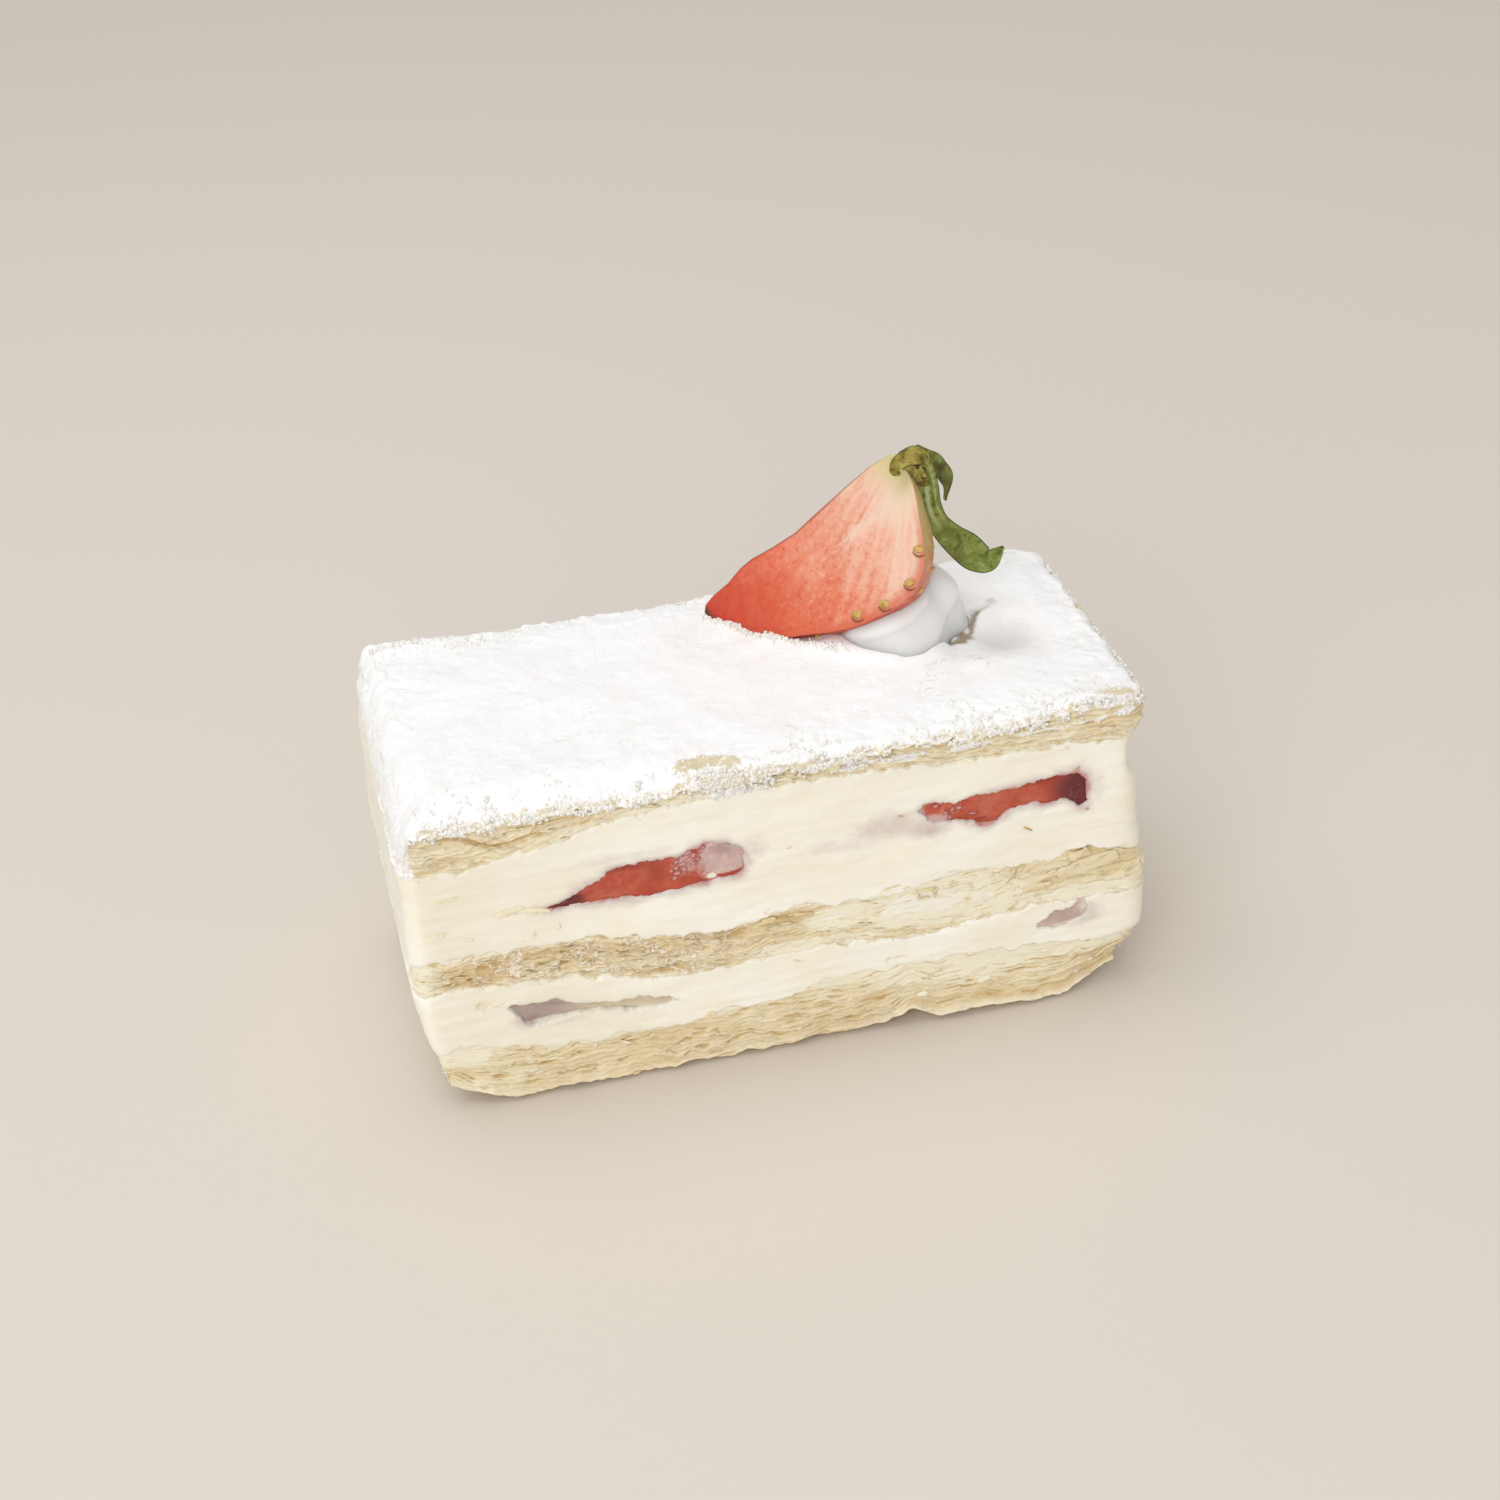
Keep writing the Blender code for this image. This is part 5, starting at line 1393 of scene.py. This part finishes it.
# lumps and slabs in the front, as x, z, half length, half height, slant in degrees, relief, toast, smear
flecks = [
    (-49.4, 31.1, 0.6, 0.22, 5, 0.7, 0.2, 0.3), (-45.6, 29.5, 0.6, 0.22, -5, 0.7, 0.1, 0.5),
    (0.9, 35.4, 0.45, 0.25, 0, 0.7, 0.1, 0.3), (36.5, 31.1, 0.8, 0.11, -35, 0.0, 0.7, 0.0),
    (-47.9, 36.8, 1.5, 0.14, 8, 0.7, 0.1, 0.2), (-39.6, 33.0, 2.2, 0.4, 7, 0.8, 0.1, 0.2),
    (-35.4, 32.3, 1.8, 0.4, -14, 0.8, 0.1, 0.2), (-33.0, 29.1, 0.4, 0.4, 20, 0.8, 0.0, 0.2),
    (-36.6, 28.6, 0.4, 0.4, 0, 0.8, 0.0, 0.2), (20.9, 23.7, 1.5, 0.16, 5, 0.5, 0.2, 0.4),
    (19.6, 22.9, 0.18, 0.9, 0, 0.55, 0.2, 0.4), (22.3, 23.0, 0.18, 0.9, 0, 0.5, 0.2, 0.35),
    (20.6, 22.2, 1.0, 0.14, 4, 0.55, 0.2, 0.45), (24.9, 24.1, 0.3, 0.3, 0, 0.5, 0.3, 0.3),
    (27.7, 22.8, 0.25, 0.6, 10, 0.6, 0.2, 0.4), (34.4, 23.9, 0.2, 0.8, 0, 0.5, 0.3, 0.2),
    (31.0, 24.2, 0.25, 0.4, 0, 0.6, 0.2, 0.4), (38.0, 20.6, 2.2, 0.4, 8, 0.6, 0.4, 0.2),
    (44.4, 25.0, 1.7, 0.8, 12, 0.6, 0.35, 0.0), (45.8, 22.9, 5.0, 1.3, 9, 0.66, 0.3, 0.0),
    (-0.7, 48.4, 1.4, 0.4, 4, 0.7, 0.4, 0.2), (3.0, 48.7, 2.0, 0.5, -4, 0.8, 0.3, 0.0),
    (7.4, 47.4, 1.8, 0.4, -12, 0.7, 0.4, 0.0), (-2.6, 23.4, 1.2, 0.4, 10, 0.5, 0.8, 0.0),
    (2.6, 23.4, 1.4, 0.35, -8, 0.5, 0.8, 0.0), (20.0, 5.2, 0.9, 0.3, 10, 0.9, 0.0, 0.9),
    (29.6, 5.8, 1.1, 0.3, 12, 0.9, 0.0, 0.9), (-12.0, 9.0, 0.8, 0.3, 0, 0.6, 0.3, 0.3),
    (45.5, 32.7, 0.25, 0.2, 0, 0.0, 1.0, 0.0), (44.0, 39.9, 0.4, 0.1, 40, 0.0, 0.9, 0.1),
    (17.5, 37.2, 0.4, 0.08, -15, 0.1, 0.8, 0.2),
]


# three axes from a first and a rough second direction, made square to each other and scaled
def squareAxes(first, second, halfSizes):
    first = first / np.linalg.norm(first, axis=1)[:, None]
    third = np.cross(first, second)
    third = third / np.linalg.norm(third, axis=1)[:, None]
    second = np.cross(third, first)
    return np.stack((first * halfSizes[:, :1], second * halfSizes[:, 1:2], third * halfSizes[:, 2:3]), 1)


# grains of sugar in clumps: on the cut faces where the top sheet is dusted, along the rims, and by the berry
def makeCrumbs(sugar):
    values = crumbPlan
    random = np.random.default_rng(values["seed"])
    ring = outlineRing(8000)
    pick = random.integers(0, 8000, values["fallen"])
    chosen = [a[pick] for a in ring]
    wall = wallPlaces(chosen, random.uniform(0.05, 1, len(pick)), "topBottom", "crust", 0.8,
            crustSeat(chosen[2]) + 0.6)
    out, look = topShape(wall)
    kept = (look["sugar"] + random.normal(0, 0.12, len(out)) > 0.62) & (wall["normalX"] > -0.8)
    away = out + endReach(wall["normalX"], wall["z"])
    places = [np.stack((wall["x"] + wall["normalX"] * away, wall["y"] + wall["normalY"] * out, wall["z"]),
            -1)[kept]]

    # on the sugar's hanging edge and a little below it
    pick = random.integers(0, 8000, values["skirt"])
    x, y, normalX, normalY = (a[pick] for a in ring)
    depth = skirtDepth(x, y, np.maximum(0, -normalX) ** 2)
    z = crustHeight(x, y) - 1.1 - depth * random.uniform(0, 1.0, len(x)) - random.exponential(0.25, len(x))
    clump = latticeNoise(x / 1.2, y / 1.2, z / 0.8, 113) + random.normal(0, 0.15, len(x))
    kept = (clump > 0.05) & (normalX > -0.7)
    away = random.uniform(0.2, 0.5, len(x))
    places.append(np.stack((x + normalX * (away + endReach(normalX, z)), y + normalY * away, z), -1)[kept])

    pick = random.integers(0, 8000, values["rim"])
    x, y, normalX, normalY = (a[pick] for a in ring)
    inset = random.exponential(1.3, len(x))
    turned = facingX(x, y)
    clump = latticeNoise(turned / 1.3, inset / 0.9, 0, 111) + 0.7 * latticeNoise(turned / 6, 0, 0 * x, 112)
    kept = (clump + random.normal(0, 0.1, len(x)) > 0.3) & (normalX > -0.8)
    z = crustHeight(x - normalX * inset, y - normalY * inset) - 0.8 * np.exp(-inset / 0.6)
    reach = endReach(normalX, z)
    places.append(np.stack((x + normalX * (0.1 + reach - inset), y + normalY * (0.1 - inset), z), -1)[kept])

    line = smoothCurve([(-0.6, 17.4), (3.6, 11.2), (7.4, 6.6), (12.0, 2.8), (17.0, -0.8)],
            random.random(values["berry"]) ** 1.2)
    line = line + random.normal(0, 0.45, line.shape)
    places.append(np.stack((line[:, 0], line[:, 1], crustHeight(line[:, 0], line[:, 1]) + 0.1), -1))

    place = np.concatenate(places)
    half = random.uniform(*values["size"], (len(place), 1)) * random.uniform(0.6, 1.2, place.shape)
    axes = squareAxes(random.normal(0, 1, place.shape), random.normal(0, 1, place.shape), half)
    shape, faces = smallBall(2, 5)
    points, allFaces = scatterShape(shape, faces, place, axes)
    blank = np.zeros(len(points))
    addPiece("sugar_crumbs", points, allFaces, sugar,
             values={"bare": blank, "crack": blank, "mark": blank, "ivory": blank + 0.5})


# thin chips of pastry, as lens shapes with jagged outlines that follow the leaves: half are leaf edges that
# stick out of the cut, and half lie flat against it
def makeFlakes(material):
    values = flakePlan
    random = np.random.default_rng(values["seed"])
    ring = outlineRing(4000)
    places, axes, looks = [], [], []
    for bed in values["beds"]:
        pick = random.integers(0, 4000, bed["count"])
        chosen = [a[pick] for a in ring]
        keep = random.random(bed["count"]) > 0.85 * smoothStep((-chosen[2] - 0.3) / 0.4)
        chosen = [a[keep] for a in chosen]
        count = len(chosen[0])
        wall = wallPlaces(chosen, random.uniform(bed["least"], 0.98, count), bed["low"], bed["high"],
                bed["below"], bed["above"])
        out, look = bed["shape"](wall)
        kept = random.random(count) > 0.8 * np.clip(look["smear"], 0, 1)
        flat = random.random(count) < 0.5
        away = out + endReach(wall["normalX"], wall["z"]) + np.where(flat, 0.0, 0.03)
        normal = np.stack((wall["normalX"], wall["normalY"], 0 * out), -1)
        tangent = np.stack((-wall["normalY"], wall["normalX"], 0 * out), -1)
        upward = np.array([0, 0, 1.0])[None]
        first = tangent + upward * random.normal(0, 0.16, (count, 1))
        first = first + normal * random.normal(0, 0.15, (count, 1))
        tip = random.normal(0, 0.35, (count, 1))
        second = np.where(flat[:, None], upward + normal * tip, normal + upward * tip)
        half = np.stack([random.uniform(*values[key], count) for key in ("length", "width", "thick")], -1)
        places.append((np.stack((wall["x"], wall["y"], wall["z"]), -1) + normal * away[:, None])[kept])
        axes.append(squareAxes(first, second, half)[kept])
        shade = random.uniform(0.45, 0.95, count)
        own = np.stack((shade, look["toastAndShade"] * 0.7, look["smear"] * 0.7, look["sugar"] * 0.8), -1)
        looks.append(own[kept])
    shape, faces = smallBall(3, 7)
    angle = np.arctan2(shape[:, 1], shape[:, 0])
    jag = 1 + 0.22 * np.sin(angle * 3 + 1) + 0.15 * np.sin(angle * 5)
    shape = np.stack((shape[:, 0] * jag, shape[:, 1] * jag, shape[:, 2] + 1.6 * shape[:, 0] ** 2 - 0.8), -1)
    points, allFaces = scatterShape(shape, faces, np.concatenate(places), np.concatenate(axes))
    spread = np.repeat(np.concatenate(looks), len(shape), 0)
    keys = ("relief", "toastAndShade", "smear", "sugar")
    addPiece("pastry_flakes", points, allFaces, material,
            values={key: spread[:, i] for i, key in enumerate(keys)})


# flecks and small slabs in the front, and the same turned end for end in the back: balls squared off by
# taking the square root of their coordinates
def makeFlecks(material):
    x, z, length, height, slant, relief, toastAndShade, smear = np.array(flecks).T
    angle = np.radians(slant)
    centres, axes = [], []
    for side in (-1, 1):
        along = np.stack((-side * np.cos(angle), 0 * x, np.sin(angle)), -1)
        upward = np.stack((side * np.sin(angle), 0 * x, np.cos(angle)), -1)
        centres.append(np.stack((-side * x, side * (slicePlan["halfDepth"] + 0.1 + 0 * x), z), -1))
        axes.append(np.stack((along * length[:, None], upward * height[:, None],
                np.array([0, -side * 0.3, 0]) + 0 * along), 1))
    shape, faces = smallBall(9, 18)
    shape = np.sign(shape) * np.abs(shape) ** 0.65
    places, turned = np.concatenate(centres), np.concatenate(axes)
    points, allFaces = scatterShape(shape, faces, places, turned)
    # bites out of the sides, as deep as a quarter of a lump's half height and no deeper than 0.3 mm
    rough = np.repeat(np.minimum(0.4 * np.linalg.norm(turned[:, 1], axis=1), 0.3), len(shape))
    bites = [roughNoise(*(points.T / 0.7), 1.0, 2, 121 + k) for k in range(3)]
    points = points + rough[:, None] * np.stack(bites, -1)
    values = {"relief": relief, "toastAndShade": toastAndShade, "smear": smear, "sugar": 0 * smear}
    addPiece("front_flecks", points, allFaces, material,
             values={key: np.tile(np.repeat(array, len(shape)), 2) for key, array in values.items()})


# camera, floor and light

view = dict(place=(-0.0701, -0.3426, 0.2503), turn=(58.54, 3.12, -13.72), lens=65.96)


def makeCamera():
    data = bpy.data.cameras.new("camera")
    data.lens = view["lens"]
    data.sensor_width = 36
    data.clip_start = 0.01
    camera = bpy.data.objects.new("camera", data)
    camera.location = view["place"]
    camera.rotation_euler = [math.radians(angle) for angle in view["turn"]]
    bpy.context.scene.collection.objects.link(camera)
    bpy.context.scene.camera = camera


studio = dict(floor=(220, 212, 202), world=(1.0, 0.99, 0.98), worldStrength=0.6)
lamps = dict(
    above=dict(place=(-0.15, 0.1, 0.8), aim=(0, 0, 0.03), size=0.7, power=2.2),
    front=dict(place=(-0.45, -0.85, 0.5), aim=(0, 0, 0.03), size=0.8, power=4.8),
)


def makeStudio():
    mesh = bpy.data.meshes.new("floor")
    reach = 3.0
    corners = [(-reach, -reach, 0), (reach, -reach, 0), (reach, reach, 0), (-reach, reach, 0)]
    mesh.from_pydata(corners, [], [(0, 1, 2, 3)])
    finish = Finish("pale floor", 0.6, 0.3)
    finish.colour(tone(*studio["floor"]))
    mesh.materials.append(finish.material)
    floor = bpy.data.objects.new("floor", mesh)
    bpy.context.scene.collection.objects.link(floor)
    world = bpy.data.worlds.new("studio")
    world.use_nodes = True
    background = world.node_tree.nodes["Background"]
    background.inputs["Color"].default_value = (*studio["world"], 1)
    background.inputs["Strength"].default_value = studio["worldStrength"]
    bpy.context.scene.world = world
    for name, lamp in lamps.items():
        data = bpy.data.lights.new(name, "AREA")
        data.energy = lamp["power"]
        data.size = lamp["size"]
        made = bpy.data.objects.new(name, data)
        made.location = lamp["place"]
        away = made.location - Vector(lamp["aim"])
        made.rotation_euler = away.to_track_quat("Z", "Y").to_euler()
        bpy.context.scene.collection.objects.link(made)
    bpy.context.scene.view_settings.view_transform = "Standard"


# making everything

makeCamera()
makeStudio()
print("camera and studio set")
pastry = pastryMaterial()
baseWall = wallGrid(None, "baseTop", basePastry["rows"], basePastry["columns"], above=0.8)
makeSheet("base_sheet", baseShape, baseWall, "base_pastry", pastry)
middleWall = wallGrid("middleBottom", "middleTop", middlePastry["rows"], middlePastry["columns"], below=0.7,
        above=0.7)
makeSheet("middle_sheet", middleShape, middleWall, "middle_pastry", pastry)
seat = crustSeat(outlineRing(topPastry["columns"])[2])
topWall = wallGrid("topBottom", "crust", topPastry["rows"], topPastry["columns"], below=0.8, above=seat)
makeSheet("top_sheet", topShape, topWall, "top_pastry", pastry, 1.3)
makeFlakes(pastry)
makeFlecks(pastry)
print("pastry sheets made")
sugar = sugarMaterial()
makeSugarCrust(sugar)
print("sugar made")
cuts = placeCuts()
cream = creamMaterial()
makeCream("lower_cream_band", lowerCream, "baseTop", "middleBottom", "lower_cream", cuts, cream)
makeCream("upper_cream_band", upperCream, "middleTop", "topBottom", "upper_cream", cuts, cream)
print("cream made")
flesh = fleshMaterial()
for cutName, cutValues in cuts.items():
    makeCutBerry(cutName, cutValues, flesh)
makeWedge(wedgeMaterial())
makeSeeds(seedMaterial())
print("strawberries made")
leaf = leafMaterial()
for leafName, leafValues in leaves.items():
    makeLeaf(leafName, leafValues, leaf)
makeLeafCap(leaf)
makeSwirl(swirlMaterial())
makeCrumbs(sugar)
print("leaves, swirl and crumbs made")
